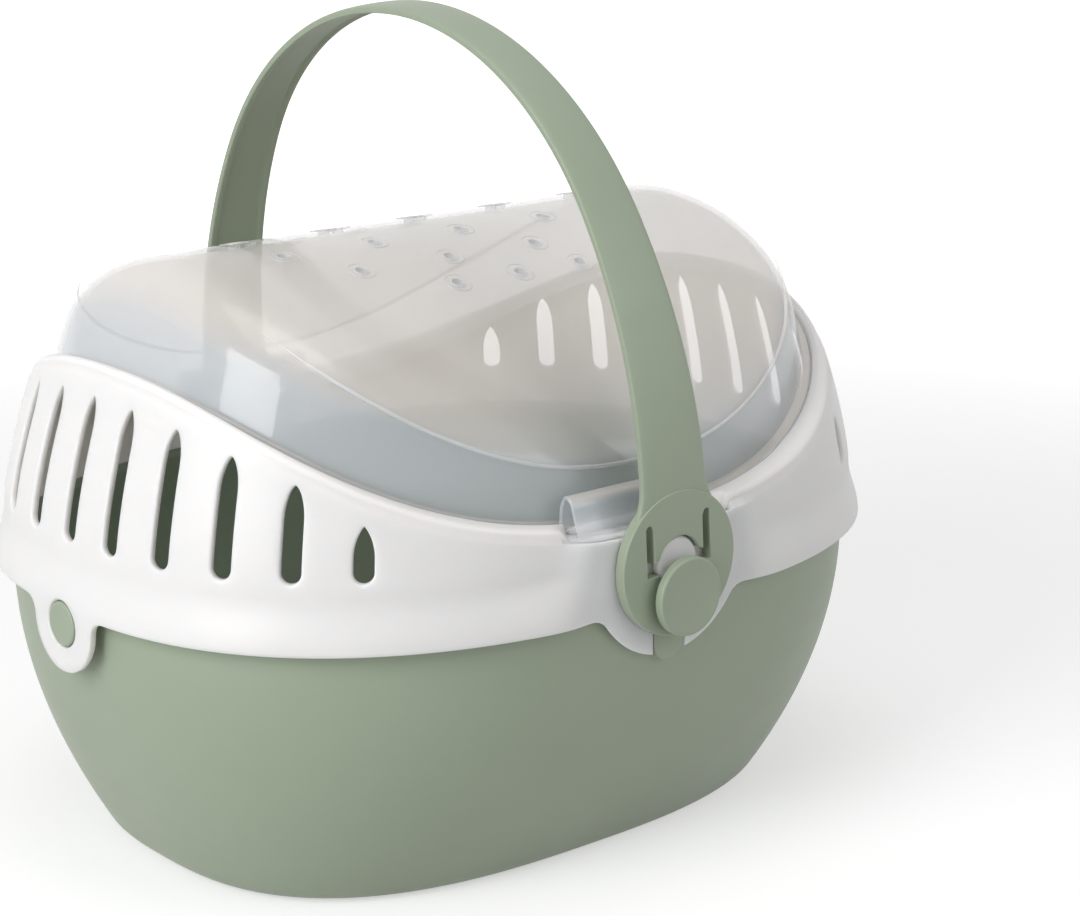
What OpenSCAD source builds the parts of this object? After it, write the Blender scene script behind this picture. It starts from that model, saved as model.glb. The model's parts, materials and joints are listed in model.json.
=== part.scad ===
// Carrier for small pets: an oval tub, a slotted collar snapped on it, a clear vaulted lid
// that lifts off, and a strap handle that folds about two hubs on the long sides.
// Millimetres, +Z up. The origin is the middle of the flat base, X runs along the length.

/* [Tub] */
// Half length of the tub at its rim
rim_half_l = 145; // [130:1:165]
// Half width of the tub at its rim
rim_half_w = 116.5; // [106:0.5:128]
// Squareness of the rim outline, where 2 is an ellipse
rim_power = 2.45; // [2:0.05:3]
// Half length of the flat base
base_half_l = 115.5; // [95:0.5:128]
// Half width of the flat base
base_half_w = 82; // [70:0.5:98]
// Squareness of the base outline
base_power = 2.7; // [2:0.05:3.2]
// Height of the tub up to the lower edge of the collar
tub_h = 96; // [84:1:115]
// How fast the wall steepens above the base
flare_power = 1.95; // [1.4:0.05:2.6]
// Height of the rim that is tucked into the collar
tuck_h = 7.2; // [5:0.1:10]
// Thickness of the tub wall
tub_wall = 2.2; // [1.6:0.1:3]
// Thickness of the tub floor
floor_t = 2.6; // [2:0.1:4]
// Radius that rounds the tub wall into the base
base_round = 4; // [2:0.5:7]

/* [Collar] */
// Thickness of the collar wall
collar_wall = 2.4; // [1.8:0.1:3]
// How far the collar wall stands out from the rim where its skirt ends
neck_out = 2.2; // [1.5:0.1:3.5]
// Extra reach of the skirt at its lower edge
skirt_out = 3.6; // [2:0.1:6]
// Height of the bulging skirt
skirt_h = 18; // [14:1:22]
// How far the wall has leaned in when it is lean_h above the skirt
lean_in = 14; // [8:0.5:18]
// Height over which the wall leans in by lean_in
lean_h = 54; // [45:1:65]
// Height of the collar's upper edge above its lower one, at the middle of the long sides
edge_above = 29; // [27:0.5:34]
// Rise of the upper edge from there to the two ends
edge_rise = 46.5; // [35:0.5:55]
// Power of that rise along the length
edge_power = 2.6; // [2:0.1:3.2]
// How much the collar is drawn in beside the pads, so that the strap can fold past it
sweep_relief = 0.6; // [0.6:0.1:1.4]
// Width of the rolled lip on the upper edge
lip_w = 3.2; // [2.6:0.1:4]
// Depth of the ledge below the lip
ledge_drop = 3.5; // [3:0.1:5]
// Thickness of the ledge that carries the lid
ledge_t = 2.2; // [1.6:0.1:3]

/* [Air slots] */
// Number of full slots from the middle one to each side of an end, before a last short one
slots_each_way = 4; // [3:1:4]
// Distance between slots along the outline
slot_pitch = 21.6; // [18:0.2:23]
// Width of a slot
slot_w = 6.6; // [5:0.1:8]
// Height of the lower end of every slot above the collar's lower edge
slot_above = 21.5; // [19:0.5:25]
// Distance from the tip of the middle slot to the upper edge
slot_gap_mid = 9.2; // [8:0.2:12]
// Distance from the tip of the outermost full slot to the upper edge
slot_gap_side = 6; // [6:0.2:9]
// Distance from the tip of the last short slot to the upper edge
slot_gap_last = 9; // [8:0.2:12]

/* [Lid] */
// Thickness of the clear lid
lid_wall = 1.8; // [1.4:0.1:2.4]
// How far the foot of the lid wall lies inside the rim outline
lid_in = 13; // [12:0.5:15]
// How much further in the lid wall has curved at the height of the ridge
lid_curve_in = 20; // [14:0.5:24]
// Height of the ridge above the collar's upper edge at the long sides
ridge_above = 77; // [70:1:86]
// Height of the vault arch above its springing
vault_h = 82; // [76:1:90]
// How far inside the rim the vault arch springs
vault_in = 7.5; // [2:0.5:10]
// Squareness of the vault arch
vault_power = 1.7; // [1.6:0.05:1.9]
// Depth of the lid skirt inside the ledge
lid_skirt = 5; // [3:0.5:8]
// Reach of the hollow latch flaps from the pivots towards the -X end
flap_back = 34; // [28:1:38]
// Reach of the hollow latch flaps from the pivots towards the +X end
flap_front = 20; // [16:1:30]
// Diameter of an air hole
vent_d = 4; // [3:0.5:5]

/* [Handle] */
// Height of the handle pivots above the collar's lower edge
pivot_above = 14; // [12:0.5:16]
// Height of the top of the strap above the pivots
handle_h = 165.3; // [150:0.5:185]
// How far the strap's outer face lies behind the outer face of the discs
strap_back = 0.3; // [0.1:0.1:0.4]
// Straight stretch of the legs above the pivots
leg_straight = 18; // [17:1:22]
// How much smaller the arch's radius is at its top than half its span
arch_top_in = 9.6; // [4:0.2:22]
// Thickness of the strap
strap_t = 3.3; // [2.6:0.1:3.3]
// Width of the strap at the pivots
strap_w_low = 28.5; // [24:0.5:32]
// Width of the strap at the top of the arch
strap_w_top = 16.5; // [14:0.5:22]
// Radius of the round disc at each end of the strap
disc_r = 23.7; // [22.5:0.1:25]
// Thickness of the discs
disc_t = 4; // [3.5:0.1:4.5]
// Lean of the handle towards the -X end
handle_lean = 3.5; // [0:0.5:8]

/* [Hubs and buttons] */
// Radius of the collar hubs that the discs turn on
hub_r = 8.5; // [7.5:0.1:9]
// Radial clearance of a running fit
run_gap = 0.05; // [0.03:0.01:0.1]
// Clearance between the handle discs and the collar pads
pad_gap = 0.3; // [0.2:0.05:0.5]
// Radius of the round pads under the discs
pad_r = 31; // [29:0.5:33]
// Radius of the push button heads
button_r = 12.9; // [11:0.1:13]
// Thickness of the push button heads
button_t = 3.2; // [2.4:0.1:4]
// Distance of the button centre below the pivot
button_drop = 10.2; // [9:0.1:10.5]
// Gap between a button head and the disc
button_gap = 1.8; // [1.6:0.1:2.5]
// Radius of a button stem
stem_r = 4; // [3:0.1:4.2]

/* [End studs] */
// Radius of the snap studs in the end tabs
stud_r = 7.3; // [6:0.1:8]
// Distance of the studs below the collar's lower edge
stud_drop = 4.8; // [3:0.1:7]
// Radius of the end tabs
tab_r = 15.8; // [14:0.1:17]
// Clearance of a stud in the hole of its tab
tab_hole_gap = 0.35; // [0.25:0.05:0.6]

/* [Hidden] */

sage = [0.66, 0.72, 0.62];
white = [0.95, 0.95, 0.94];
clear = [0.82, 0.85, 0.86, 0.4];

loft_steps = 72;
seat_z = tub_h + tuck_h;
neck_z = tub_h + skirt_h;
seat_rib_h = 2.2;
tuck_gap = 0.3;
seat_gap = 0.3;
edge_mid_z = tub_h + edge_above;
slot_low_z = tub_h + slot_above;
ridge_z = edge_mid_z + ridge_above;
pivot_z = tub_h + pivot_above;
stud_z = tub_h - stud_drop;
lid_curve_z = edge_mid_z - 5;
lid_curve_h = ridge_z - lid_curve_z - 2;
vault_half_w = rim_half_w - vault_in;
pad_front = rim_half_w + 1.8;
pad_back = rim_half_w + tuck_gap;
notch_half_w = 7;
rib_half_w = 6.5;
rib_low_z = stud_z - 14.5;
rib_top_z = tub_h + 1.5;
flare_low = 18;
flare_run = 30;
relief_far = 70;
relief_run = 25;
relief_low = tub_h + 10;
relief_rise = 8;
tab_front = rim_half_l + neck_out + skirt_out + 0.4;
tab_t = 2.4;
flange_t = 1.8;
flange_gap = 0.5;
flange_rest = 0.25;
flap_t = 1.5;
flap_top_z = edge_mid_z + 9.6;
flap_low_z = edge_mid_z - ledge_drop + 0.4;
flap_cut = 2.5;
tongue_z = edge_mid_z + 1.5;
window_half_w = 13.5;
window_low = -2;
window_high = 15;
spring_half_w = 10.5;
spring_low = 2;
spring_t = 2.4;
stem_drop = hub_r + stem_r + 2;
stem_back = 2.7;
disc_back = pad_front + pad_gap;
disc_front = disc_back + disc_t;
strap_out = disc_front - strap_back;
arch_top_r = strap_out - arch_top_in;
stud_flange_r = stud_r + 2.2;
stud_flange_t = 1.5;

// Reach of a squared oval from its middle in the direction a
function reach(half_l, half_w, power, a) =
    pow(pow(abs(cos(a)) / half_l, power) + pow(abs(sin(a)) / half_w, power), -1 / power);

function oval_point(half_l, half_w, power, a, z) =
    let (r = reach(half_l, half_w, power, a)) [r * cos(a), r * sin(a), z];

// A point that lies off outside the rim outline, in the direction a
function rim_point(off, a, z) = oval_point(rim_half_l + off, rim_half_w + off, rim_power, a, z);

function smooth(u) = let (v = min(max(u, 0), 1)) v * v * (3 - 2 * v);

// Turns through the closed outline
function turns() = [for (i = [0 : loft_steps - 1]) i * 360 / loft_steps];

// Tub wall: the base outline grows into the rim outline
function tub_point(inset, a, z) =
    let (u = min(max(z / tub_h, 0), 1), grow = 1 - pow(1 - u, flare_power))
    oval_point(base_half_l + (rim_half_l - base_half_l) * grow - inset,
               base_half_w + (rim_half_w - base_half_w) * grow - inset,
               base_power + (rim_power - base_power) * u, a, z);

function tub_ring(inset, z) = [for (a = turns()) tub_point(inset, a, z)];

// Height of the collar's upper edge: a saddle, high at both ends
function edge_z(a) = edge_mid_z + edge_rise * pow(abs(rim_point(0, a, 0)[0]) / rim_half_l, edge_power);

// How far the outer face of the collar lies outside the rim outline
function collar_off(a, z) =
    let (lean = lean_in * pow(max(z - neck_z, 0) / lean_h, 1.4),
         down = min(max(z - tub_h, 0) / skirt_h, 1),
         from_mid = abs(rim_point(0, a, 0)[0]),
         fade = smooth((from_mid - flare_low) / flare_run),
         relief = sweep_relief * smooth((relief_far - from_mid) / relief_run)
                  * smooth((z - relief_low) / relief_rise))
    neck_out - lean - relief + fade * skirt_out * (1 + cos(180 * down)) / 2;

// How far the outer face of the lid lies outside the rim outline, which is less than nothing
function lid_off(z) = -lid_in - lid_curve_in * pow(max(z - lid_curve_z, 0) / lid_curve_h, 3);

function vault_z(y) =
    let (u = pow(min(abs(y) / vault_half_w, 0.999), vault_power))
    ridge_z - vault_h * (1 - pow(1 - u, 1 / vault_power));

// Height at which the lid wall meets the vault in the direction a, with both moved in by depth
function crease_z(a, depth, z = 170, left = 14) =
    left == 0 ? z
    : crease_z(a, depth, vault_z(rim_point(lid_off(z) - depth, a, z)[1]) - depth, left - 1);

// Angle at which the rim outline has run the length along from the -X end
function angle_along(along, a = 180, run = 0, step = 0.5) =
    run >= along ? a
    : angle_along(along, a + step, run + norm(rim_point(0, a + step, 0) - rim_point(0, a, 0)), step);

// Solid between stacked rings of equal count, closed at both ends
module stack_loft(rings) {
    n = len(rings[0]);
    last = len(rings) - 1;
    points = [for (ring = rings) for (p = ring) p];
    sides = [for (i = [0 : last - 1]) for (j = [0 : n - 1])
        let (a = i * n + j, b = i * n + (j + 1) % n) each [[a, a + n, b + n], [a, b + n, b]]];
    ends = [[for (j = [0 : n - 1]) j], [for (j = [n - 1 : -1 : 0]) last * n + j]];
    polyhedron(points, concat(sides, ends), convexity = 6);
}

// Solid swept by a closed section round a closed path
module band_loft(sections) {
    n = len(sections);
    m = len(sections[0]);
    points = [for (s = sections) for (p = s) p];
    faces = [for (i = [0 : n - 1]) for (j = [0 : m - 1])
        let (k = (i + 1) % n, l = (j + 1) % m, a = i * m + j, b = k * m + j, c = k * m + l, d = i * m + l)
        each [[a, d, c], [a, c, b]]];
    polyhedron(points, faces, convexity = 8);
}

// A disc or rod along Y on the side s, between two distances from the middle
module side_rod(s, r, from, to, x = 0, z = 0) {
    translate([x, s > 0 ? from : -to, z])
        rotate([-90, 0, 0])
            cylinder(h = to - from, r = r, $fn = 96);
}

// A disc or rod along X at the end s
module end_rod(s, r, from, to, z = 0) {
    translate([s > 0 ? from : -to, 0, z])
        rotate([0, 90, 0])
            cylinder(h = to - from, r = r, $fn = 96);
}

module tub_shell() {
    rows = 9;
    outer = concat(
        [tub_ring(base_round * 0.9, 0), tub_ring(base_round * 0.25, base_round * 0.3)],
        [for (i = [0 : rows]) tub_ring(0, base_round + (tub_h - base_round) * i / rows)],
        [tub_ring(0, seat_z)]);
    inner = concat(
        [tub_ring(tub_wall, seat_z)],
        [for (i = [rows : -1 : 0])
            tub_ring(tub_wall, floor_t + base_round + (tub_h - floor_t - base_round) * i / rows)],
        [tub_ring(tub_wall + base_round * 0.9, floor_t)]);
    stack_loft(concat(outer, inner));
}

// Upright rib on the tub that fills the notch of the collar pad
module tub_rib(s) {
    back = rim_half_w - 1.6;
    front = pad_front - 0.3;
    side_rod(s, rib_half_w, back, front, z = rib_low_z + rib_half_w);
    translate([-rib_half_w, s > 0 ? back : -front, rib_low_z + rib_half_w])
        cube([2 * rib_half_w, front - back, rib_top_z - rib_low_z - rib_half_w]);
}

module tub() {
    color(sage)
        difference() {
            union() {
                tub_shell();
                for (s = [-1, 1]) tub_rib(s);
            }
            for (s = [-1, 1])
                end_rod(s, stud_r + run_gap, rim_half_l - 12, rim_half_l + 5, stud_z);
        }
}

// Section of the collar in the direction a, outside first, then over the lip and down inside
function collar_section(a) =
    let (rows = 9, top = edge_z(a), lip_low = top - ledge_drop, ledge_low = lip_low - ledge_t,
         rib_top = seat_z + seat_rib_h, ledge_in = lid_off(lip_low) + seat_gap)
    concat(
        [for (i = [0 : rows]) let (z = tub_h + (top - 2 - tub_h) * i / rows)
            rim_point(collar_off(a, z), a, z)],
        [rim_point(collar_off(a, top) - 0.6, a, top - 0.6), rim_point(collar_off(a, top) - 1.6, a, top),
         rim_point(collar_off(a, top) - lip_w + 0.8, a, top),
         rim_point(collar_off(a, top) - lip_w, a, top - 0.8),
         rim_point(collar_off(a, top) - lip_w, a, lip_low), rim_point(ledge_in, a, lip_low),
         rim_point(ledge_in, a, ledge_low)],
        [for (i = [rows : -1 : 0]) let (z = rib_top + (ledge_low - rib_top) * i / rows)
            rim_point(collar_off(a, z) - collar_wall, a, z)],
        [rim_point(-tub_wall, a, rib_top), rim_point(-tub_wall, a, seat_z),
         rim_point(max(collar_off(a, seat_z) - collar_wall, tuck_gap), a, seat_z),
         rim_point(max(collar_off(a, tub_h) - collar_wall, tuck_gap), a, tub_h)]);

// Outline of a slot, standing on its lower end, with a pointed top
module slot_outline(h) {
    half = slot_w / 2;
    tip = min(slot_w * 1.4, h / 2);
    steps = 5;
    left = [for (i = [0 : steps]) let (u = i / steps) [-half * cos(90 * u), h - tip + tip * sin(90 * u)]];
    low = [for (i = [0 : steps]) let (q = 180 + 180 * i / steps) [half * cos(q), half + half * sin(q)]];
    right = [for (i = [steps - 1 : -1 : 1]) [-left[i][0], left[i][1]]];
    polygon(concat(low, [[half, h - tip]], right, left));
}

module air_slots() {
    for (end = [0, 1])
        for (i = [-slots_each_way - 1 : slots_each_way + 1]) {
            a = i < 0 ? 360 - angle_along(-i * slot_pitch) : angle_along(i * slot_pitch);
            along = rim_point(0, a + 1, 0) - rim_point(0, a - 1, 0);
            share = abs(i) / slots_each_way;
            gap = share > 1 ? slot_gap_last : slot_gap_mid + (slot_gap_side - slot_gap_mid) * share * share;
            top = edge_z(a) - gap;
            mid = rim_point(0, a, slot_low_z);
            rotate([0, 0, end * 180])
                translate(mid)
                    rotate([90, 0, atan2(along[1], along[0])])
                        hull()
                            linear_extrude(height = 60, center = true)
                                slot_outline(top - slot_low_z);
        }
}

module collar_pad(s) {
    side_rod(s, pad_r, pad_back, pad_front, z = pivot_z);
}

module end_tab(s) {
    end_rod(s, tab_r, tab_front - tab_t, tab_front, stud_z);
    translate([s > 0 ? tab_front - tab_t : -tab_front, -tab_r, stud_z])
        cube([tab_t, 2 * tab_r, tub_h + 3 - stud_z]);
}

// White tongue that stands on the ledge inside the latch flap
module flap_tongue(s) {
    translate([-flap_back + 5, s > 0 ? rim_half_w - 9 : -rim_half_w + 6.5, edge_mid_z - ledge_drop - 1])
        cube([flap_back + flap_front - 10, 2.5, tongue_z - edge_mid_z + ledge_drop + 1]);
}

module collar() {
    color(white)
        difference() {
            union() {
                band_loft([for (a = turns()) collar_section(a)]);
                for (s = [-1, 1]) collar_pad(s);
                for (s = [-1, 1]) end_tab(s);
                for (s = [-1, 1]) flap_tongue(s);
            }
            air_slots();
            for (s = [-1, 1]) {
                side_rod(s, pad_r, pad_front, pad_front + 20, z = pivot_z);
                end_rod(s, stud_r + tab_hole_gap, tab_front - 20, tab_front + 5, stud_z);
                translate([-notch_half_w, s > 0 ? pad_back - 1 : -pad_front - 5, pivot_z - pad_r - 5])
                    cube([2 * notch_half_w, pad_front - pad_back + 6, rib_top_z + 0.5 - pivot_z + pad_r + 5]);
                translate([-flap_back - flap_cut, s > 0 ? rim_half_w - 5.5 : -rim_half_w - 20,
                           edge_mid_z - ledge_drop])
                    cube([flap_back + flap_front + 2 * flap_cut, 25.5, 20]);
            }
        }
}

// Height of the underside of the lid's flange, and how far its edge lies off the rim outline
function flange_z(a) = edge_z(a) - ledge_drop + flange_rest;

function flange_off(a) = collar_off(a, edge_z(a)) - lip_w - flange_gap;

// One side of the lid as a stack of rings, moved in by depth: 0 is the outside
function lid_rings(depth, with_flange) =
    let (rows = 4, vault_rows = 7)
    concat(
        [[for (a = turns()) rim_point(lid_off(edge_z(a)) - depth, a, edge_z(a) - ledge_drop - lid_skirt)]],
        with_flange ? [
            [for (a = turns()) rim_point(lid_off(flange_z(a)), a, flange_z(a))],
            [for (a = turns()) rim_point(flange_off(a), a, flange_z(a))],
            [for (a = turns()) rim_point(flange_off(a), a, flange_z(a) + flange_t)]] : [],
        [for (i = [0 : rows]) [for (a = turns())
            let (low = flange_z(a) + flange_t, z = low + (crease_z(a, depth) - low) * i / rows)
            rim_point(lid_off(z) - depth, a, z)]],
        [for (i = [1 : vault_rows]) [for (a = turns())
            let (z = crease_z(a, depth), k = 1 - 0.97 * i / vault_rows,
                 rim = rim_point(lid_off(z) - depth, a, z))
            [rim[0] * k, rim[1] * k, vault_z(rim[1] * k) - depth]]]);

// Section of the hollow latch flap: from the lid wall, over, and down to the ledge
module flap_section() {
    foot = rim_half_w - lid_in;
    polygon([[foot - 1, flap_top_z - 4], [foot + 1.5, flap_top_z - 0.8], [foot + 3.6, flap_top_z],
             [foot + 5.6, flap_top_z - 0.4], [foot + 7.3, flap_top_z - 2], [foot + 10.6, flap_low_z],
             [foot + 10.6 - flap_t, flap_low_z], [foot + 6, flap_top_z - 2.4],
             [foot + 4.7, flap_top_z - flap_t - 0.3], [foot + 3.4, flap_top_z - flap_t],
             [foot + 1, flap_top_z - 3.6], [foot + 0.4, flap_top_z - 6.5], [foot - 1, flap_top_z - 6.5]]);
}

module lid_vents() {
    for (sx = [-1, 1], sy = [-1, 1])
        for (p = [[0, 0.386], [0.179, 0.386], [0.124, 0.266], [0.372, 0.266],
                  [0, 0.12], [0.248, 0.12], [0.497, 0.12]])
            translate([sx * p[0] * rim_half_l, sy * p[1] * rim_half_w, ridge_z - 60])
                cylinder(h = 80, d = vent_d, $fn = 24);
}

module lid() {
    outside = lid_rings(0, true);
    inside = lid_rings(lid_wall, false);
    color(clear)
        union() {
            difference() {
                stack_loft(concat([for (i = [len(inside) - 1 : -1 : 0]) inside[i]], outside));
                lid_vents();
                for (s = [-1, 1])
                    translate([-flap_back, s > 0 ? rim_half_w - lid_in + 1 : -rim_half_w - 5,
                               edge_mid_z - ledge_drop - 2])
                        cube([flap_back + flap_front, lid_in + 4, 8]);
            }
            for (s = [-1, 1])
                scale([1, s, 1])
                    translate([-flap_back, 0, 0])
                        rotate([90, 0, 90])
                            linear_extrude(height = flap_back + flap_front)
                                flap_section();
        }
}

// Outline of the strap arch from pivot to pivot: straight legs, two wide arcs and a tighter top arc
function arch_points(inset, steps = 16) =
    let (top_mid = handle_h - leg_straight - arch_top_r,
         side_r = (strap_out * strap_out + top_mid * top_mid - arch_top_r * arch_top_r)
                  / (2 * (strap_out - arch_top_r)),
         side_mid = side_r - strap_out,
         meet = atan2(top_mid, side_mid),
         side = [for (i = [0 : steps - 1]) let (q = meet * i / steps)
             [(side_r - inset) * cos(q) - side_mid, leg_straight + (side_r - inset) * sin(q)]],
         top = [for (i = [0 : steps]) let (q = meet + (90 - meet) * i / steps)
             [(arch_top_r - inset) * cos(q), leg_straight + top_mid + (arch_top_r - inset) * sin(q)]],
         half = concat([[strap_out - inset, 0]], side, top))
    concat(half, [for (i = [len(half) - 2 : -1 : 0]) [-half[i][0], half[i][1]]]);

module strap() {
    inner = arch_points(strap_t);
    intersection() {
        rotate([90, 0, 90])
            linear_extrude(height = 2 * strap_w_low, center = true)
                polygon(concat(arch_points(0), [for (i = [len(inner) - 1 : -1 : 0]) inner[i]]));
        rotate([90, 0, 0])
            linear_extrude(height = 3 * strap_out, center = true)
                polygon([[-strap_w_low / 2, 0], [strap_w_low / 2, 0], [strap_w_top / 2, handle_h + 1],
                         [-strap_w_top / 2, handle_h + 1]]);
    }
}

// Box on the side s between two distances from the middle
module side_box(s, half_w, from, to, low, high) {
    translate([-half_w, s > 0 ? from : -to, low])
        cube([2 * half_w, to - from, high - low]);
}

module handle_disc(s) {
    difference() {
        union() {
            difference() {
                side_rod(s, disc_r, disc_back, disc_front);
                side_box(s, window_half_w, disc_back - 1, disc_front + 1, window_low, window_high);
            }
            side_box(s, spring_half_w, disc_front - spring_t, disc_front, spring_low, window_high + 1);
        }
        side_rod(s, hub_r + run_gap, disc_back - 1, disc_front + 1);
        side_rod(s, stem_r + run_gap, disc_back - 1, disc_front + 1, z = -stem_drop);
    }
}

module at_handle() {
    translate([0, 0, pivot_z])
        rotate([0, -handle_lean, 0])
            children();
}

module handle() {
    color(sage)
        at_handle()
            union() {
                difference() {
                    strap();
                    for (s = [-1, 1]) side_rod(s, disc_r - 3, disc_back - 5, disc_front + 5);
                }
                for (s = [-1, 1]) handle_disc(s);
            }
}

// White hub on the collar pad, with a domed face
module hub(s) {
    dome = 1.4;
    length = disc_front - 0.8 - pad_front;
    color(white)
        translate([0, s * pad_front, pivot_z])
            rotate([s > 0 ? -90 : 90, 0, 0])
                rotate_extrude($fn = 96)
                    polygon(concat([[0, 0], [hub_r, 0]],
                        [for (i = [0 : 6]) let (q = 15 * i)
                            [hub_r - dome + dome * cos(q), length - dome + dome * sin(q)]],
                        [[0, length]]));
}

module front_hub() {
    hub(-1);
}

module rear_hub() {
    hub(1);
}

// Push button: a round head in front of the disc and a stem in the disc's bore
module button(s) {
    back = disc_front + button_gap;
    edge = 0.9;
    color(sage)
        at_handle()
            union() {
                translate([0, s * back, -button_drop])
                    rotate([s > 0 ? -90 : 90, 0, 0])
                        rotate_extrude($fn = 96)
                            polygon(concat([[0, 0], [button_r, 0]],
                                [for (i = [0 : 5]) let (q = 18 * i)
                                    [button_r - edge + edge * cos(q), button_t - edge + edge * sin(q)]],
                                [[0, button_t]]));
                side_rod(s, stem_r, disc_back + stem_back, back + 0.5, z = -stem_drop);
            }
}

module front_button() {
    button(-1);
}

module rear_button() {
    button(1);
}

// Snap stud: its face fills the hole of the end tab, its flange lies behind the tub wall
module stud(s) {
    flange_x = rim_half_l - tub_wall - 1.1;
    color(sage)
        union() {
            end_rod(s, stud_r, flange_x - stud_flange_t, tab_front - 0.2, stud_z);
            end_rod(s, stud_flange_r, flange_x - stud_flange_t, flange_x, stud_z);
        }
}

module left_stud() {
    stud(-1);
}

module right_stud() {
    stud(1);
}

tub();
collar();
lid();
handle();
front_hub();
rear_hub();
front_button();
rear_button();
left_stud();
right_stud();
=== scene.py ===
import json
import math
from contextlib import contextmanager
from functools import lru_cache

import bmesh
import bpy
import numpy as np
from bpy.props import FloatProperty, FloatVectorProperty, PointerProperty
from mathutils import Matrix, Vector


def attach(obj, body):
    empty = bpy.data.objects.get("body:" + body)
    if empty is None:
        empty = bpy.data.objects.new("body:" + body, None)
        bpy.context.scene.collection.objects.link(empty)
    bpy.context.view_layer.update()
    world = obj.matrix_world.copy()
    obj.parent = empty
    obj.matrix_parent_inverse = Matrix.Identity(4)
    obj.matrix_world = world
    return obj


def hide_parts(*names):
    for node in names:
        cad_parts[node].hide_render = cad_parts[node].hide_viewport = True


bl_info = {
    "name": "Pet Carrier",
    "version": (1, 0, 0),
    "blender": (4, 5, 0),
    "location": "View3D > Sidebar > Carrier",
    "description": "Builds an oval pet carrier round its packed frame, piece by piece",
    "category": "Add Mesh",
}

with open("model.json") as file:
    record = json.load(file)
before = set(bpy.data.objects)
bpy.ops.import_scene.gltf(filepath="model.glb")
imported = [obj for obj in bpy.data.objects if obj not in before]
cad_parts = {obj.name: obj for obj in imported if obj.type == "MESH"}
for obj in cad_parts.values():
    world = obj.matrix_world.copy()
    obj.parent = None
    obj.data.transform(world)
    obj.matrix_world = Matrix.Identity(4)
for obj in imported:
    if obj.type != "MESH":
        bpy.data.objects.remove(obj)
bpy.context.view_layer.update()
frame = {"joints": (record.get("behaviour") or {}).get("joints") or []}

MM = 0.001
WELD = 0.001 * MM
GRID_WELD = 0.01 * MM
PIVOT_Z = next(j["pos_m"][2] for j in frame["joints"] if j["name"] == "handle_fold")


def length(name, description, default, low=0.0, high=1.0):
    """A length in metres that the sidebar shows."""
    return FloatProperty(name=name, description=description, default=default, min=low, max=high,
                         subtype="DISTANCE", unit="LENGTH")


def colour(name, description, default):
    """A linear colour that the sidebar shows."""
    return FloatVectorProperty(name=name, description=description, default=default, min=0.0, max=1.0,
                               subtype="COLOR", size=3)


class TubSizes(bpy.types.PropertyGroup):
    """Sizes of the tub and of its rim, which the collar and the lid follow."""

    rim_half_l: length("Rim half length", "Half length of the tub at its rim", 145 * MM)
    rim_half_w: length("Rim half width", "Half width of the tub at its rim", 116.5 * MM)
    rim_power: FloatProperty(name="Rim squareness", description="Power of the rim outline", default=2.45)
    base_half_l: length("Base half length", "Half length of the flat base", 115.5 * MM)
    base_half_w: length("Base half width", "Half width of the flat base", 82 * MM)
    base_power: FloatProperty(name="Base squareness", description="Power of the base outline", default=2.7)
    part_z: length("Parting height", "Height of the collar's lower edge", 96 * MM)
    seat_z: length("Rim height", "Height of the tub's rim inside the collar", 103.2 * MM)
    flare: FloatProperty(name="Flare", description="How fast the wall steepens above the base", default=1.95)
    wall: length("Wall", "Thickness of the tub wall", 2.2 * MM)
    base_round: length("Base rounding", "Radius between wall and base", 5 * MM)
    rib_half_w: length("Rib half width", "Half width of the upright rib on each long side", 6.5 * MM)
    rib_low_z: length("Rib foot", "Height of the rib's rounded foot", 76.7 * MM)


class CollarSizes(bpy.types.PropertyGroup):
    """Sizes of the slotted collar."""

    wall: length("Wall", "Thickness of the collar wall", 2.4 * MM)
    neck_out: length("Neck reach", "Reach of the wall over the rim above the skirt", 2.2 * MM)
    skirt_out: length("Skirt reach", "Extra reach of the skirt at its lower edge", 3.6 * MM)
    skirt_h: length("Skirt height", "Height of the bulging skirt", 18 * MM)
    lean_in: length("Lean", "How far the wall has leaned in at the lean height", 14 * MM)
    lean_h: length("Lean height", "Height over which the wall leans in", 54 * MM)
    edge_mid_z: length("Edge height", "Height of the upper edge at the long sides", 125 * MM)
    edge_rise: length("Edge rise", "Rise of the upper edge to the ends", 46.5 * MM)
    edge_power: FloatProperty(name="Edge power", description="Power of that rise", default=2.6)
    lip_wide: length("Wide lip", "Width of the rolled lip where it is widest", 8.5 * MM)
    lip_narrow: length("Narrow lip", "Width of the rolled lip at the ends", 3.2 * MM)
    ledge_drop: length("Ledge depth", "Depth of the ledge below the lip", 3.5 * MM)
    slot_pitch: length("Slot pitch", "Distance between air slots along the outline", 21.6 * MM)
    slot_w: length("Slot width", "Width of an air slot", 6.6 * MM)
    slot_low_z: length("Slot foot", "Height of the lower end of every slot", 117.5 * MM)
    slot_round: length("Slot rounding", "Radius on the edges of a slot", 0.7 * MM)
    pad_y: length("Pad reach", "Distance of the pads' faces from the middle", 118.3 * MM)
    pad_r: length("Pad radius", "Radius of the pads under the handle discs", 31 * MM)
    tab_r: length("Tab radius", "Radius of the end tabs", 15.8 * MM)
    tab_z: length("Tab height", "Height of the end tabs' centre", 91.2 * MM)
    hole_r: length("Tab hole", "Radius of the hole in an end tab", 7.65 * MM)


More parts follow.
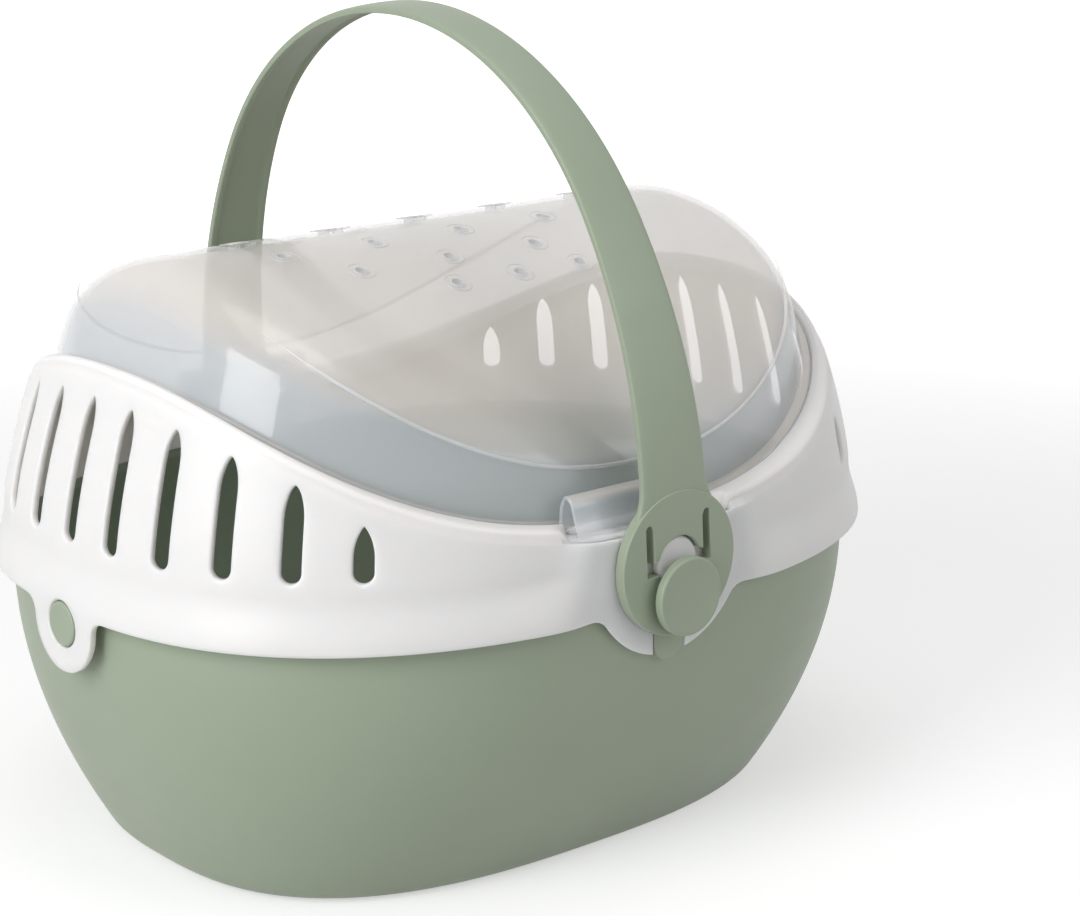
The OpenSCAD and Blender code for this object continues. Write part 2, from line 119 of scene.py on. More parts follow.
class LidSizes(bpy.types.PropertyGroup):
    """Sizes of the clear lid."""

    wall: length("Wall", "Thickness of the lid", 1.8 * MM)
    foot_in: length("Foot inset", "How far the foot lies inside the rim outline", 13 * MM)
    curve_low_z: length("Curve start", "Height at which the wall starts to curve inwards", 120 * MM)
    curve_h: length("Curve height", "Height over which the wall curves inwards", 80 * MM)
    curve_in: length("Curve inset", "How much further in the wall has curved at the ridge", 20 * MM)
    ridge_z: length("Ridge height", "Height of the ridge", 202 * MM)
    vault_h: length("Vault height", "Height of the vault arch", 82 * MM)
    vault_half_w: length("Vault half span", "Half span of the vault arch", 109 * MM)
    vault_power: FloatProperty(name="Vault squareness", description="Power of the vault arch", default=1.7)
    crease_side: length("Side crease", "Rounding of the crease on the long sides", 1.6 * MM)
    crease_end: length("End crease", "Rounding of the crease at the ends", 12 * MM)
    flap_back: length("Flap back reach", "Reach of a latch flap from the pivots towards -X", 34 * MM)
    flap_front: length("Flap front reach", "Reach of a latch flap from the pivots towards +X", 20 * MM)
    vent_r: length("Vent radius", "Radius of an air hole in the lid", 2 * MM)


class HandleSizes(bpy.types.PropertyGroup):
    """Sizes of the strap handle, its discs and the buttons."""

    height: length("Strap height", "Height of the strap's top above the pivots", 165.3 * MM)
    half_span: length("Strap half span", "Half span over the straight legs", 122.3 * MM)
    leg: length("Straight leg", "Straight stretch of the legs above the pivots", 18 * MM)
    top_r: length("Top radius", "Radius of the arch at its top", 112.7 * MM)
    thick: length("Strap thickness", "Thickness of the strap", 3.3 * MM)
    low_w: length("Strap foot width", "Width of the strap at the pivots", 28.5 * MM)
    top_w: length("Strap top width", "Width of the strap at its top", 16.5 * MM)
    lean: FloatProperty(name="Lean", description="Lean of the handle towards the -X end",
                        default=math.radians(3.5), subtype="ANGLE", unit="ROTATION")
    disc_r: length("Disc radius", "Radius of the end discs", 23.7 * MM)
    disc_y: length("Disc reach", "Distance of a disc's inner face from the middle", 118.6 * MM)
    disc_t: length("Disc thickness", "Thickness of the end discs", 4 * MM)
    hub_r: length("Hub radius", "Radius of the white hubs", 8.5 * MM)
    button_r: length("Button radius", "Radius of the push button heads", 12.9 * MM)
    button_drop: length("Button drop", "Distance of a button's centre below the pivot", 10.2 * MM)
    button_t: length("Button thickness", "Thickness of the button heads", 3.2 * MM)
    button_gap: length("Button gap", "Gap between a button head and its disc", 1.8 * MM)
    stem_r: length("Stem radius", "Radius of the buttons' stems", 4 * MM)
    stem_drop: length("Stem drop", "Distance of a stem's centre below the pivot", 14.5 * MM)
    stud_r: length("Stud radius", "Radius of the end studs", 7.3 * MM)
    stud_front: length("Stud reach", "Distance of the studs' faces from the middle", 150.9 * MM)


class CarrierColours(bpy.types.PropertyGroup):
    """Colours of the plastics and of the floor."""

    green: colour("Green plastic", "Colour of the tub, handle, buttons and studs", (0.283, 0.338, 0.244))
    white: colour("White plastic", "Colour of the collar and hubs", (0.82, 0.797, 0.787))
    # The two lid colours are painted light: lighter and warm where the lid faces up, bluish where it stands
    # upright
    vault: colour("Lid vault", "Colour of the hazy lid where it faces up", (0.98, 0.91, 0.85))
    side: colour("Lid sides", "Colour of the hazy lid where it stands upright", (0.73, 0.775, 0.815))
    floor: colour("Floor", "Colour of the floor", (0.62, 0.62, 0.62))


def tub():
    return bpy.context.scene.carrier_tub


def collar():
    return bpy.context.scene.carrier_collar


def lid():
    return bpy.context.scene.carrier_lid


def handle():
    return bpy.context.scene.carrier_handle


def palette():
    return bpy.context.scene.carrier_colours


# Shape rules: the outlines that the tub, the collar and the lid share


def smooth(u):
    """Eases from 0 to 1 while u runs from 0 to 1."""
    v = np.clip(u, 0, 1)
    return v * v * (3 - 2 * v)


def rim_point(off, angle):
    """x and y of the rim outline moved outwards by off, in the direction angle."""
    half_l, half_w, power = tub().rim_half_l + off, tub().rim_half_w + off, tub().rim_power
    c, s = np.cos(angle), np.sin(angle)
    r = (np.abs(c / half_l) ** power + np.abs(s / half_w) ** power) ** (-1 / power)
    return r * c, r * s


@lru_cache(maxsize=None)
def rim_run():
    """Table of the angle reached after each length along the rim outline, from the +X end."""
    angle = np.linspace(0, 2 * math.pi, 7201)
    x, y = rim_point(0, angle)
    run = np.concatenate([[0], np.cumsum(np.hypot(np.diff(x), np.diff(y)))])
    return run, angle


def rim_angle(run):
    """The angle reached after a length along the rim outline."""
    table, angle = rim_run()
    return np.interp(run, table, angle)


def rim_total():
    """Length of the whole rim outline."""
    return rim_run()[0][-1]


def edge_z(angle):
    """Height of the collar's upper edge: a saddle, high at both ends."""
    share = np.abs(rim_point(0, angle)[0]) / tub().rim_half_l
    return collar().edge_mid_z + collar().edge_rise * share ** collar().edge_power


RELIEF = 0.6 * MM
RELIEF_FAR, RELIEF_RUN = 70 * MM, 25 * MM
RELIEF_LOW, RELIEF_RISE = 106 * MM, 8 * MM
FLARE_LOW, FLARE_RUN = 18 * MM, 30 * MM
LEAN_POWER = 1.4
CREASE_GUESS = 170 * MM
CREASE_TRIES = 20
LIP_CLEAR = 3.5 * MM


def collar_off(angle, z):
    """How far the collar's outer face lies outside the rim outline."""
    c, t = collar(), tub()
    neck_z = t.part_z + c.skirt_h
    lean = c.lean_in * (np.maximum(z - neck_z, 0) / c.lean_h) ** LEAN_POWER
    down = np.clip((z - t.part_z) / c.skirt_h, 0, 1)
    from_mid = np.abs(rim_point(0, angle)[0])
    fade = smooth((from_mid - FLARE_LOW) / FLARE_RUN)
    relief = RELIEF * smooth((RELIEF_FAR - from_mid) / RELIEF_RUN) * smooth((z - RELIEF_LOW) / RELIEF_RISE)
    return c.neck_out - lean - relief + fade * c.skirt_out * (1 + np.cos(math.pi * down)) / 2


def lid_off(z):
    """How far the lid's outer face lies outside the rim outline, which is less than nothing."""
    return -lid().foot_in - lid().curve_in * (np.maximum(z - lid().curve_low_z, 0) / lid().curve_h) ** 3


def lip_width(angle):
    """Width of the collar's rolled lip, which leaves room for the lid behind it."""
    edge = edge_z(angle)
    room = collar_off(angle, edge) - lid_off(edge) - LIP_CLEAR
    return np.clip(room, collar().lip_narrow, collar().lip_wide)


def vault_z(y):
    """Height of the lid's vault at a distance from its middle."""
    u = np.minimum(np.abs(y) / lid().vault_half_w, 0.999) ** lid().vault_power
    return lid().ridge_z - lid().vault_h * (1 - (1 - u) ** (1 / lid().vault_power))


def crease_z(angle, depth):
    """Height at which the lid's wall meets its vault, both moved in by depth."""
    z = np.full_like(angle, CREASE_GUESS)
    for _ in range(CREASE_TRIES):
        z = vault_z(rim_point(lid_off(z) - depth, angle)[1]) - depth
    return z


# Mesh helpers


@contextmanager
def edited(mesh):
    """Opens a mesh for editing and writes it back."""
    bm = bmesh.new()
    bm.from_mesh(mesh)
    yield bm
    bm.to_mesh(mesh)
    bm.free()


def evaluated(obj):
    """A plain mesh of the object as its modifiers or its curve settings leave it."""
    depsgraph = bpy.context.evaluated_depsgraph_get()
    return bpy.data.meshes.new_from_object(obj.evaluated_get(depsgraph))


def mesh_object(name, verts, faces, material, sharp=35):
    """A smooth-shaded object from plain points and faces, with its normals set outwards."""
    mesh = bpy.data.meshes.new(name)
    mesh.from_pydata([tuple(map(float, v)) for v in verts], [], [tuple(map(int, f)) for f in faces])
    return finish_mesh(name, mesh, material, sharp)


def finish_mesh(name, mesh, material, sharp=35, recalculate=True):
    """An object of the mesh, merged, with outward normals, smooth between its sharp edges."""
    with edited(mesh) as bm:
        bmesh.ops.remove_doubles(bm, verts=bm.verts, dist=WELD)
        if recalculate:
            bmesh.ops.recalc_face_normals(bm, faces=bm.faces)
    mesh.materials.clear()
    mesh.materials.append(material)
    mesh.shade_smooth()
    mesh.set_sharp_from_angle(angle=math.radians(sharp))
    obj = bpy.data.objects.new(name, mesh)
    bpy.context.scene.collection.objects.link(obj)
    return obj


def keep(obj, body, slot, *nodes):
    """Rides the finished piece on its body and hides the CAD nodes that it stands for; the slot argument is
    not used.
    """
    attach(obj, body)
    if nodes:
        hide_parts(*nodes)


def flat_faces(obj):
    """Lets the large flat faces keep their own shading beside softened edges."""
    weighted = obj.modifiers.new("Flat faces", "WEIGHTED_NORMAL")
    weighted.keep_sharp = True
    return obj


def join_parts(parts):
    """Points and faces of several (points, faces) pairs as one pair."""
    verts, faces = [], []
    for points, part_faces in parts:
        start = len(verts)
        verts.extend(points)
        faces.extend([tuple(i + start for i in f) for f in part_faces])
    return verts, faces


def ring_faces(low, high):
    """Faces between two closed rings of as many points."""
    count = len(low)
    return [(low[i], low[(i + 1) % count], high[(i + 1) % count], high[i]) for i in range(count)]


def stacked(rings):
    """A solid of rings with as many points each, closed at both ends, as points and faces."""
    count = len(rings[0])
    numbers = [range(k * count, (k + 1) * count) for k in range(len(rings))]
    faces = [tuple(numbers[0]), tuple(numbers[-1])]
    for low, high in zip(numbers, numbers[1:]):
        faces += ring_faces(low, high)
    return [point for ring in rings for point in ring], faces


def lathe(profile, turns=64):
    """A closed solid turned about the Z axis from (radius, z) points, which start and end on the axis."""
    verts, faces, rings = [], [], []
    for r, z in profile:
        if r < WELD:
            rings.append([len(verts)] * turns)
            verts.append((0, 0, z))
        else:
            rings.append(list(range(len(verts), len(verts) + turns)))
            verts.extend((r * math.cos(2 * math.pi * i / turns), r * math.sin(2 * math.pi * i / turns), z)
                         for i in range(turns))
    for low, high in zip(rings, rings[1:]):
        faces += [tuple(dict.fromkeys(face)) for face in ring_faces(low, high)]
    return verts, [face for face in faces if len(face) > 2]


def side_matrix(side, y, x=0.0, z=0.0):
    """Turns the Z axis outwards along Y on one side, and moves it to a place there."""
    turn = Matrix.Rotation(math.radians(-90 * side), 4, "X")
    return Matrix.Translation((x, side * y, z)) @ turn


def placed(part, matrix):
    """The part with its points moved by the matrix."""
    verts, faces = part
    return [tuple(matrix @ Vector(v)) for v in verts], faces


def handle_matrix():
    """Moves what was built round the pivot axis to its place on the leaning handle."""
    return Matrix.Translation((0, 0, PIVOT_Z)) @ Matrix.Rotation(-handle().lean, 4, "Y")


def arc(centre, radius, start, end, steps):
    """Points of an arc in the plane, from start to end in degrees."""
    return [(centre[0] + radius * math.cos(math.radians(start + (end - start) * i / steps)),
             centre[1] + radius * math.sin(math.radians(start + (end - start) * i / steps)))
            for i in range(steps + 1)]


def rounding(radius, degrees):
    """How far a rounded corner draws back from its two sides after each turn."""
    turns = [math.radians(q) for q in degrees]
    return [(radius * (1 - math.cos(q)), radius * (1 - math.sin(q))) for q in turns]


# Geometry Nodes helper


class Tree:
    """A Geometry Nodes tree with named inputs, built node by node."""

    def __init__(self, name, takes_mesh=False, **inputs):
        self.tree = bpy.data.node_groups.new(name, "GeometryNodeTree")
        if takes_mesh:
            self.tree.interface.new_socket("Geometry", in_out="INPUT", socket_type="NodeSocketGeometry")
        self.tree.interface.new_socket("Geometry", in_out="OUTPUT", socket_type="NodeSocketGeometry")
        kinds = {float: "NodeSocketFloat", int: "NodeSocketInt"}
        self.values = {}
        for label, value in inputs.items():
            kind = kinds.get(type(value), "NodeSocketMaterial")
            socket = self.tree.interface.new_socket(label, in_out="INPUT", socket_type=kind)
            self.values[socket.identifier] = value
        self.entry = self.tree.nodes.new("NodeGroupInput")
        self.exit = self.tree.nodes.new("NodeGroupOutput")

    def get(self, label):
        return self.entry.outputs[label]

    def add(self, kind, settings=None, **links):
        """A node of a kind, with its settings, and its inputs linked or set by name."""
        node = self.tree.nodes.new(kind)
        for key, value in (settings or {}).items():
            setattr(node, key, value)
        for key, value in links.items():
            self.join(node.inputs[key.replace("_", " ")], value)
        return node

    def join(self, socket, value):
        if isinstance(value, bpy.types.Node):
            value = value.outputs[0]
        if isinstance(value, bpy.types.NodeSocket):
            self.tree.links.new(value, socket)
        else:
            socket.default_value = value

    def math(self, operation, *values, clamp=False):
        node = self.tree.nodes.new("ShaderNodeMath")
        node.operation = operation
        node.use_clamp = clamp
        for socket, value in zip(node.inputs, values):
            self.join(socket, value)
        return node.outputs[0]

    def unit_grid(self, columns, rows):
        """A flat grid with the named counts, and its two coordinates, each from 0 to 1."""
        grid = self.add("GeometryNodeMeshGrid", Size_X=1.0, Size_Y=1.0,
                        Vertices_X=self.get(columns), Vertices_Y=self.get(rows))
        axes = self.add("ShaderNodeSeparateXYZ", Vector=self.add("GeometryNodeInputPosition"))
        return grid, *(self.math("ADD", axes.outputs[name], 0.5, clamp=True) for name in "XY")

    def between(self, first, second, share):
        """A value at a share of the way from the first to the second."""
        return self.math("ADD", first, self.math("MULTIPLY", self.math("SUBTRACT", second, first), share))

    def bend(self, grid, place):
        """Moves the grid's points to their places and welds them."""
        bent = self.add("GeometryNodeSetPosition", Geometry=grid.outputs["Mesh"], Position=place)
        return self.add("GeometryNodeMergeByDistance", Geometry=bent, Distance=GRID_WELD)

    def bake(self, geometry, start=None):
        """Runs the tree once, on a starting mesh if it takes one, and returns its result as a plain mesh."""
        real = self.add("GeometryNodeRealizeInstances", Geometry=geometry)
        done = self.add("GeometryNodeSetMaterial", Geometry=real, Material=self.get("material"))
        self.join(self.exit.inputs[0], done)
        holder = bpy.data.objects.new(self.tree.name, start or bpy.data.meshes.new(self.tree.name))
        bpy.context.scene.collection.objects.link(holder)
        modifier = holder.modifiers.new("Nodes", "NODES")
        modifier.node_group = self.tree
        for identifier, value in self.values.items():
            modifier[identifier] = value
        mesh = evaluated(holder)
        holder.modifiers.remove(modifier)
        bpy.data.objects.remove(holder)
        if not mesh.polygons:
            raise RuntimeError(f"the tree {self.tree.name} made no faces")
        return mesh


# Materials


def new_material(name):
    material = bpy.data.materials.new(name)
    material.use_nodes = True
    nodes, links = material.node_tree.nodes, material.node_tree.links
    shader = nodes["Principled BSDF"]
    return material, nodes, links, shader


def noise(nodes, links, vector, scale, detail=3.0, stretch=None):
    """Noise on Object coordinates, with features about 1 / scale metres wide."""
    texture = nodes.new("ShaderNodeTexNoise")
    texture.inputs["Scale"].default_value = scale
    texture.inputs["Detail"].default_value = detail
    if stretch:
        mapping = nodes.new("ShaderNodeMapping")
        mapping.inputs["Scale"].default_value = stretch
        links.new(vector, mapping.inputs["Vector"])
        vector = mapping.outputs["Vector"]
    links.new(vector, texture.inputs["Vector"])
    return texture.outputs["Fac"]


def spread(nodes, links, value, low, high):
    """Maps 0.3 to 0.7 of a noise to low to high."""
    node = nodes.new("ShaderNodeMapRange")
    node.inputs["From Min"].default_value = 0.3
    node.inputs["From Max"].default_value = 0.7
    node.inputs["To Min"].default_value = low
    node.inputs["To Max"].default_value = high
    links.new(value, node.inputs["Value"])
    return node.outputs["Result"]


def blend(nodes, links, factor, first, second):
    """A colour between two colours by a factor."""
    mix = nodes.new("ShaderNodeMix")
    mix.data_type = "RGBA"
    mix.inputs["A"].default_value = (*first, 1)
    mix.inputs["B"].default_value = (*second, 1)
    links.new(factor, mix.inputs["Factor"])
    return mix.outputs["Result"]


def combined(nodes, links, operation, first, second):
    """Two values, each linked or plain, combined by a math node."""
    node = nodes.new("ShaderNodeMath")
    node.operation = operation
    for socket, value in zip(node.inputs, (first, second)):
        if isinstance(value, bpy.types.NodeSocket):
            links.new(value, socket)
        else:
            socket.default_value = value
    return node.outputs[0]


def grained(nodes, links, shader, height, strength, distance):
    """Gives the surface a fine relief."""
    bump = nodes.new("ShaderNodeBump")
    bump.inputs["Strength"].default_value = strength
    bump.inputs["Distance"].default_value = distance
    links.new(height, bump.inputs["Height"])
    links.new(bump.outputs["Normal"], shader.inputs["Normal"])


def settle(shader, **values):
    """Sets sockets of the shader, each named with underscores for blanks."""
    for name, value in values.items():
        shader.inputs[name.replace("_", " ")].default_value = value


def moulded_plastic(name, base, change, rough, grain, softness, shine, sheen):
    """Moulded plastic: a slow drift of colour, uneven gloss with fine scuffs, and a fine moulded grain."""
    material, nodes, links, shader = new_material(name)
    place = nodes.new("ShaderNodeTexCoord").outputs["Object"]
    colours = [[min(c * share, 1) for c in base] for share in (1 - change, 1 + change)]
    links.new(blend(nodes, links, noise(nodes, links, place, 9, 4), *colours), shader.inputs["Base Color"])
    drift = spread(nodes, links, noise(nodes, links, place, 35, 3), rough - 0.03, rough + 0.03)
    scuff = spread(nodes, links, noise(nodes, links, place, 160, 4, (0.2, 0.2, 1.0)), -0.02, 0.03)
    links.new(combined(nodes, links, "ADD", drift, scuff), shader.inputs["Roughness"])
    grained(nodes, links, shader, noise(nodes, links, place, 1400, 2), grain, 0.1 * MM)
    settle(shader, IOR=1.49, Specular_IOR_Level=shine, Sheen_Weight=sheen, Sheen_Roughness=0.5,
           Subsurface_Weight=softness, Subsurface_Radius=(1.0, 0.9, 0.8), Subsurface_Scale=5 * MM)
    return material


@lru_cache(maxsize=None)
def green_plastic():
    return moulded_plastic("green_plastic", tuple(palette().green), change=0.03, rough=0.50, grain=0.10,
                           softness=0.05, shine=0.8, sheen=0.1)


@lru_cache(maxsize=None)
def white_plastic():
    return moulded_plastic("white_plastic", tuple(palette().white), change=0.012, rough=0.40, grain=0.05,
                           softness=1.0, shine=0.4, sheen=0.0)


LID_CLEAR = 0.15
LID_BODY = 0.42
LID_HAZE = 0.29
# Heights of the normal over which the painted light turns from the bluish side tint to the warm top tint
UPRIGHT, LEVEL = 0.25, 0.85


@lru_cache(maxsize=None)
def clear_plastic():
    """Clear plastic with a slight haze and soft flow marks, with painted light in its colour: bluish where it
    stands and lighter and warm where it faces up.
    """
    material, nodes, links, shader = new_material("clear_plastic")
    place = nodes.new("ShaderNodeTexCoord").outputs["Object"]
    facing = nodes.new("ShaderNodeSeparateXYZ")
    links.new(nodes.new("ShaderNodeNewGeometry").outputs["Normal"], facing.inputs[0])
    painted_light_share = nodes.new("ShaderNodeMapRange")
    painted_light_share.interpolation_type = "SMOOTHSTEP"
    painted_light_share.inputs["From Min"].default_value = UPRIGHT
    painted_light_share.inputs["From Max"].default_value = LEVEL
    links.new(facing.outputs["Z"], painted_light_share.inputs["Value"])
    # Painted light: the hazy colour turns from the bluish side tint to the lighter warm top tint as the
    # surface faces up
    tint = blend(nodes, links, painted_light_share.outputs["Result"], palette().side, palette().vault)
    links.new(tint, shader.inputs["Base Color"])
    settle(shader, IOR=1.46, Transmission_Weight=LID_CLEAR, Alpha=LID_BODY)
    settle(shader, Coat_Weight=1.0, Coat_Roughness=0.05)
    flow = noise(nodes, links, place, 14, 1, (0.4, 1.0, 1.0))
    links.new(spread(nodes, links, flow, LID_HAZE, LID_HAZE + 0.06), shader.inputs["Roughness"])
    grained(nodes, links, shader, noise(nodes, links, place, 11, 0), 0.03, 0.5 * MM)
    return material


# Tub

TUB_TURNS = 256
TUB_ROWS = 56
TUB_ROW_SPREAD = 1.6
RIB_BACK = 1.6 * MM
RIB_INSET = 0.3 * MM
RIB_UP = 1.2 * MM
RIB_SOFT = 0.5 * MM


def tub_wall_mesh():
    """The tub's outer face, a grid bent round by the rule of its wall, with the flat base closed."""
    t = tub()
    tree = Tree("tub_wall", base_l=t.base_half_l, base_w=t.base_half_w, base_power=t.base_power,
                rim_l=t.rim_half_l, rim_w=t.rim_half_w, rim_power=t.rim_power, flare=t.flare,
                part_z=t.part_z, height=t.seat_z, rounding=t.base_round, turns=TUB_TURNS, rows=TUB_ROWS,
                material=green_plastic())
    m, get = tree.math, tree.get
    grid, turn, row = tree.unit_grid("turns", "rows")
    angle = m("MULTIPLY", turn, 2 * math.pi)
    z = m("MULTIPLY", m("POWER", row, TUB_ROW_SPREAD), get("height"))
    share = m("DIVIDE", z, get("part_z"), clamp=True)
    grow = m("SUBTRACT", 1, m("POWER", m("SUBTRACT", 1, share), get("flare")))
    low = m("SUBTRACT", 1, m("DIVIDE", z, get("rounding"), clamp=True))
    inset = m("MULTIPLY", get("rounding"),
              m("SUBTRACT", 1, m("SQRT", m("SUBTRACT", 1, m("MULTIPLY", low, low)))))
    half_l = m("SUBTRACT", tree.between(get("base_l"), get("rim_l"), grow), inset)
    half_w = m("SUBTRACT", tree.between(get("base_w"), get("rim_w"), grow), inset)
    power = tree.between(get("base_power"), get("rim_power"), share)
    c, s = m("COSINE", angle), m("SINE", angle)
    sides = m("ADD", m("POWER", m("ABSOLUTE", m("DIVIDE", c, half_l)), power),
              m("POWER", m("ABSOLUTE", m("DIVIDE", s, half_w)), power))
    reach = m("POWER", sides, m("DIVIDE", -1, power))
    place = tree.add("ShaderNodeCombineXYZ", X=m("MULTIPLY", reach, c), Y=m("MULTIPLY", reach, s), Z=z)
    return tree.bake(tree.bend(grid, place))


def close_base(mesh):
    """Closes the open ring at the base with one flat face."""
    with edited(mesh) as bm:
        bmesh.ops.remove_doubles(bm, verts=bm.verts, dist=GRID_WELD)
        ring = [e for e in bm.edges if len(e.link_faces) == 1 and all(v.co.z < 0.1 * MM for v in e.verts)]
        bmesh.ops.contextual_create(bm, geom=ring)
        bmesh.ops.recalc_face_normals(bm, faces=bm.faces)


def rib_part(side):
    """The upright rib that fills the notch of the collar's pad, with a rounded foot and soft edges."""
    t, soft = tub(), RIB_SOFT
    top = t.part_z + RIB_UP
    foot = t.rib_low_z + t.rib_half_w
    back, front = t.rim_half_w - RIB_BACK, collar().pad_y - RIB_INSET

    def ring(inset, y):
        half = t.rib_half_w - inset
        line = [(-half, top), *arc((0, foot), half, 180, 360, 24), (half, top)]
        return [(x, side * y, z) for x, z in line]

    rings = [ring(0, back), ring(0, front - soft), ring(0.3 * soft, front - 0.3 * soft), ring(soft, front)]
    return stacked(rings)


def build_tub():
    mesh = tub_wall_mesh()
    close_base(mesh)
    shell = finish_mesh("tub_shell", mesh, green_plastic())
    solid = shell.modifiers.new("Wall", "SOLIDIFY")
    solid.thickness = tub().wall
    solid.offset = -1
    solid.use_even_offset = True
    ribs = mesh_object("tub_ribs", *join_parts([rib_part(-1), rib_part(1)]), green_plastic())
    keep(shell, "shell", "green_plastic", "tub")
    keep(flat_faces(ribs), "shell", "green_plastic")


# Collar

END_SLOTS = 11
SLOT_COLUMNS = 16
SLOT_ROWS = 16
SKIRT_ROWS = 14
SIDE_STEP = 1.4 * MM
LUG_COLUMNS = 28
LUG_TIP_COLUMNS = 18
LONG_POINT, SHORT_POINT = 1.5, 1.15
TIP_LENGTH, TIP_SHARE = 3.1, 0.55
SLOT_GAP_MID, SLOT_GAP_SIDE, SLOT_GAP_LAST = 9.2 * MM, 6 * MM, 9 * MM
TAB_FILLET, LUG_FILLET = 5.5 * MM, 7 * MM
LUG_NOTCH_HALF, LUG_NOTCH_UP = 7 * MM, 1.8 * MM
PATCH_LOW = 114.5 * MM
OUTER_GAP = 4 * MM
INNER_GAP = 4.8 * MM
PAD_BLEND = 13 * MM
PAD_RIM = 0.5 * MM
PAD_THIN = 0.6
FOOT_ROUND = 0.5 * MM
HOLE_COLUMNS = 8
HOLE_ROWS = (1, 9)
NOTCH_PAST = 3.5 * MM
NOTCH_SPREAD = 4.5 * MM
LIP_LOW = 2.2 * MM
LIP_ROUND, LIP_INNER_ROUND = 1.7 * MM, 1.2 * MM
LIP_CROWN, LIP_SINK = 0.25 * MM, 0.4 * MM
GROOVE_SINK = 0.1 * MM
LEDGE_GAP = 0.3 * MM
LEDGE_T = 2.2 * MM
TONGUE_OUT, TONGUE_IN = 7.4 * MM, 11.3 * MM
TONGUE_DROP, TONGUE_END, TONGUE_SOFT = 1 * MM, 1 * MM, 0.6 * MM


def collar_surface(run, z, depth):
    """Points of the collar wall at a length along the outline, a height and a depth below the outer face."""
    angle = rim_angle(np.mod(run, rim_total()))
    x, y = rim_point(collar_off(angle, z) - depth, angle)
    c = collar()
    from_pivot = np.hypot(x, z - PIVOT_Z)
    near = smooth((c.pad_r + PAD_RIM + PAD_BLEND - from_pivot) / PAD_BLEND)
    flat = np.sign(y) * (c.pad_y - depth * PAD_THIN)
    return np.stack([x, y * (1 - near) + flat * near, z], -1)


def slot_line(half, low, top, point):
    """Points round a slot: up its left side, over the pointed tip, down the right side, round the foot."""
    tip = min(TIP_LENGTH * half, (top - low) * TIP_SHARE)
    shoulder, foot = top - tip, low + half
    climb = np.arange(SLOT_ROWS) / SLOT_ROWS
    turn = math.pi * np.arange(SLOT_COLUMNS) / SLOT_COLUMNS
    left = np.stack([np.full(SLOT_ROWS, -half), foot + (shoulder - foot) * climb], 1)
    over = np.stack([-half * np.cos(turn), shoulder + tip * np.sqrt(1 - np.abs(np.cos(turn)) ** point)], 1)
    right = np.stack([np.full(SLOT_ROWS, half), shoulder - (shoulder - foot) * climb], 1)
    under = np.stack([half * np.cos(turn), foot - half * np.sin(turn)], 1)
    return np.concatenate([left, over, right, under])


def grown(line, out):
    """The closed line, which runs clockwise, moved outwards by out."""
    along = np.roll(line, -1, 0) - np.roll(line, 1, 0)
    along /= np.linalg.norm(along, axis=1)[:, None]
    return line + out * np.stack([-along[:, 1], along[:, 0]], 1)


def slot_top_gap(k):
    """Distance from the tip of slot k, counted from the middle of an end, to the collar's upper edge."""
    last = END_SLOTS // 2
    if abs(k) == last:
        return SLOT_GAP_LAST
    return SLOT_GAP_MID + (SLOT_GAP_SIDE - SLOT_GAP_MID) * (k / (last - 1)) ** 2


def resample(line, steps):
    """The open line with steps + 1 points at even lengths along it."""
    line = np.array(line)
    run = np.concatenate([[0], np.cumsum(np.linalg.norm(np.diff(line, axis=0), axis=1))])
    even = np.linspace(0, run[-1], steps + 1)
    return np.stack([np.interp(even, run, line[:, 0]), np.interp(even, run, line[:, 1])], 1)


def mirrored(right):
    """A line from far left over the middle to far right, from its right half, which ends in the middle."""
    return [(-x, z) for x, z in right[:-1]] + [(x, z) for x, z in right[::-1]]


def tab_line():
    """The lower edge round an end tab, as (sideways, height)."""
    c, part, fillet = collar(), tub().part_z, TAB_FILLET
    lower = fillet - (part - c.tab_z)
    reach = math.sqrt((c.tab_r + fillet) ** 2 - lower ** 2)
    touch = math.degrees(math.atan2(lower, reach))
    hollow = arc((reach, part - fillet), fillet, 90, 180 - touch, 10)
    bowl = arc((0, c.tab_z), c.tab_r, -touch, -90, 30)[1:]
    return mirrored(resample([(c.slot_pitch, part)] + hollow + bowl, SLOT_COLUMNS))


def lug_line():
    """The lower edge round a pad's lug with the notch for the tub's rib, as (sideways, height)."""
    c, part, fillet = collar(), tub().part_z, LUG_FILLET
    half, notch, top = LUG_COLUMNS * SIDE_STEP, LUG_NOTCH_HALF, part + LUG_NOTCH_UP
    drop = PIVOT_Z - part + fillet
    reach = math.sqrt((c.pad_r + fillet) ** 2 - drop ** 2)
    touch = -math.degrees(math.atan2(drop, reach))
    hollow = arc((reach, part - fillet), fillet, 90, 180 + touch, 10)
    tip = -math.degrees(math.acos(notch / c.pad_r))
    bowl = arc((0, PIVOT_Z), c.pad_r, touch, tip, 24)[1:]
    outer = [tuple(p) for p in resample([(half, part)] + hollow + bowl, LUG_TIP_COLUMNS)]
    left = LUG_COLUMNS - LUG_TIP_COLUMNS
    up = [(notch, outer[-1][1] + (top - outer[-1][1]) * i / (left - 3)) for i in range(1, left - 2)]
    over = [(notch * (1 - i / 3), top) for i in (1, 2, 3)]
    return mirrored(outer + up + over)


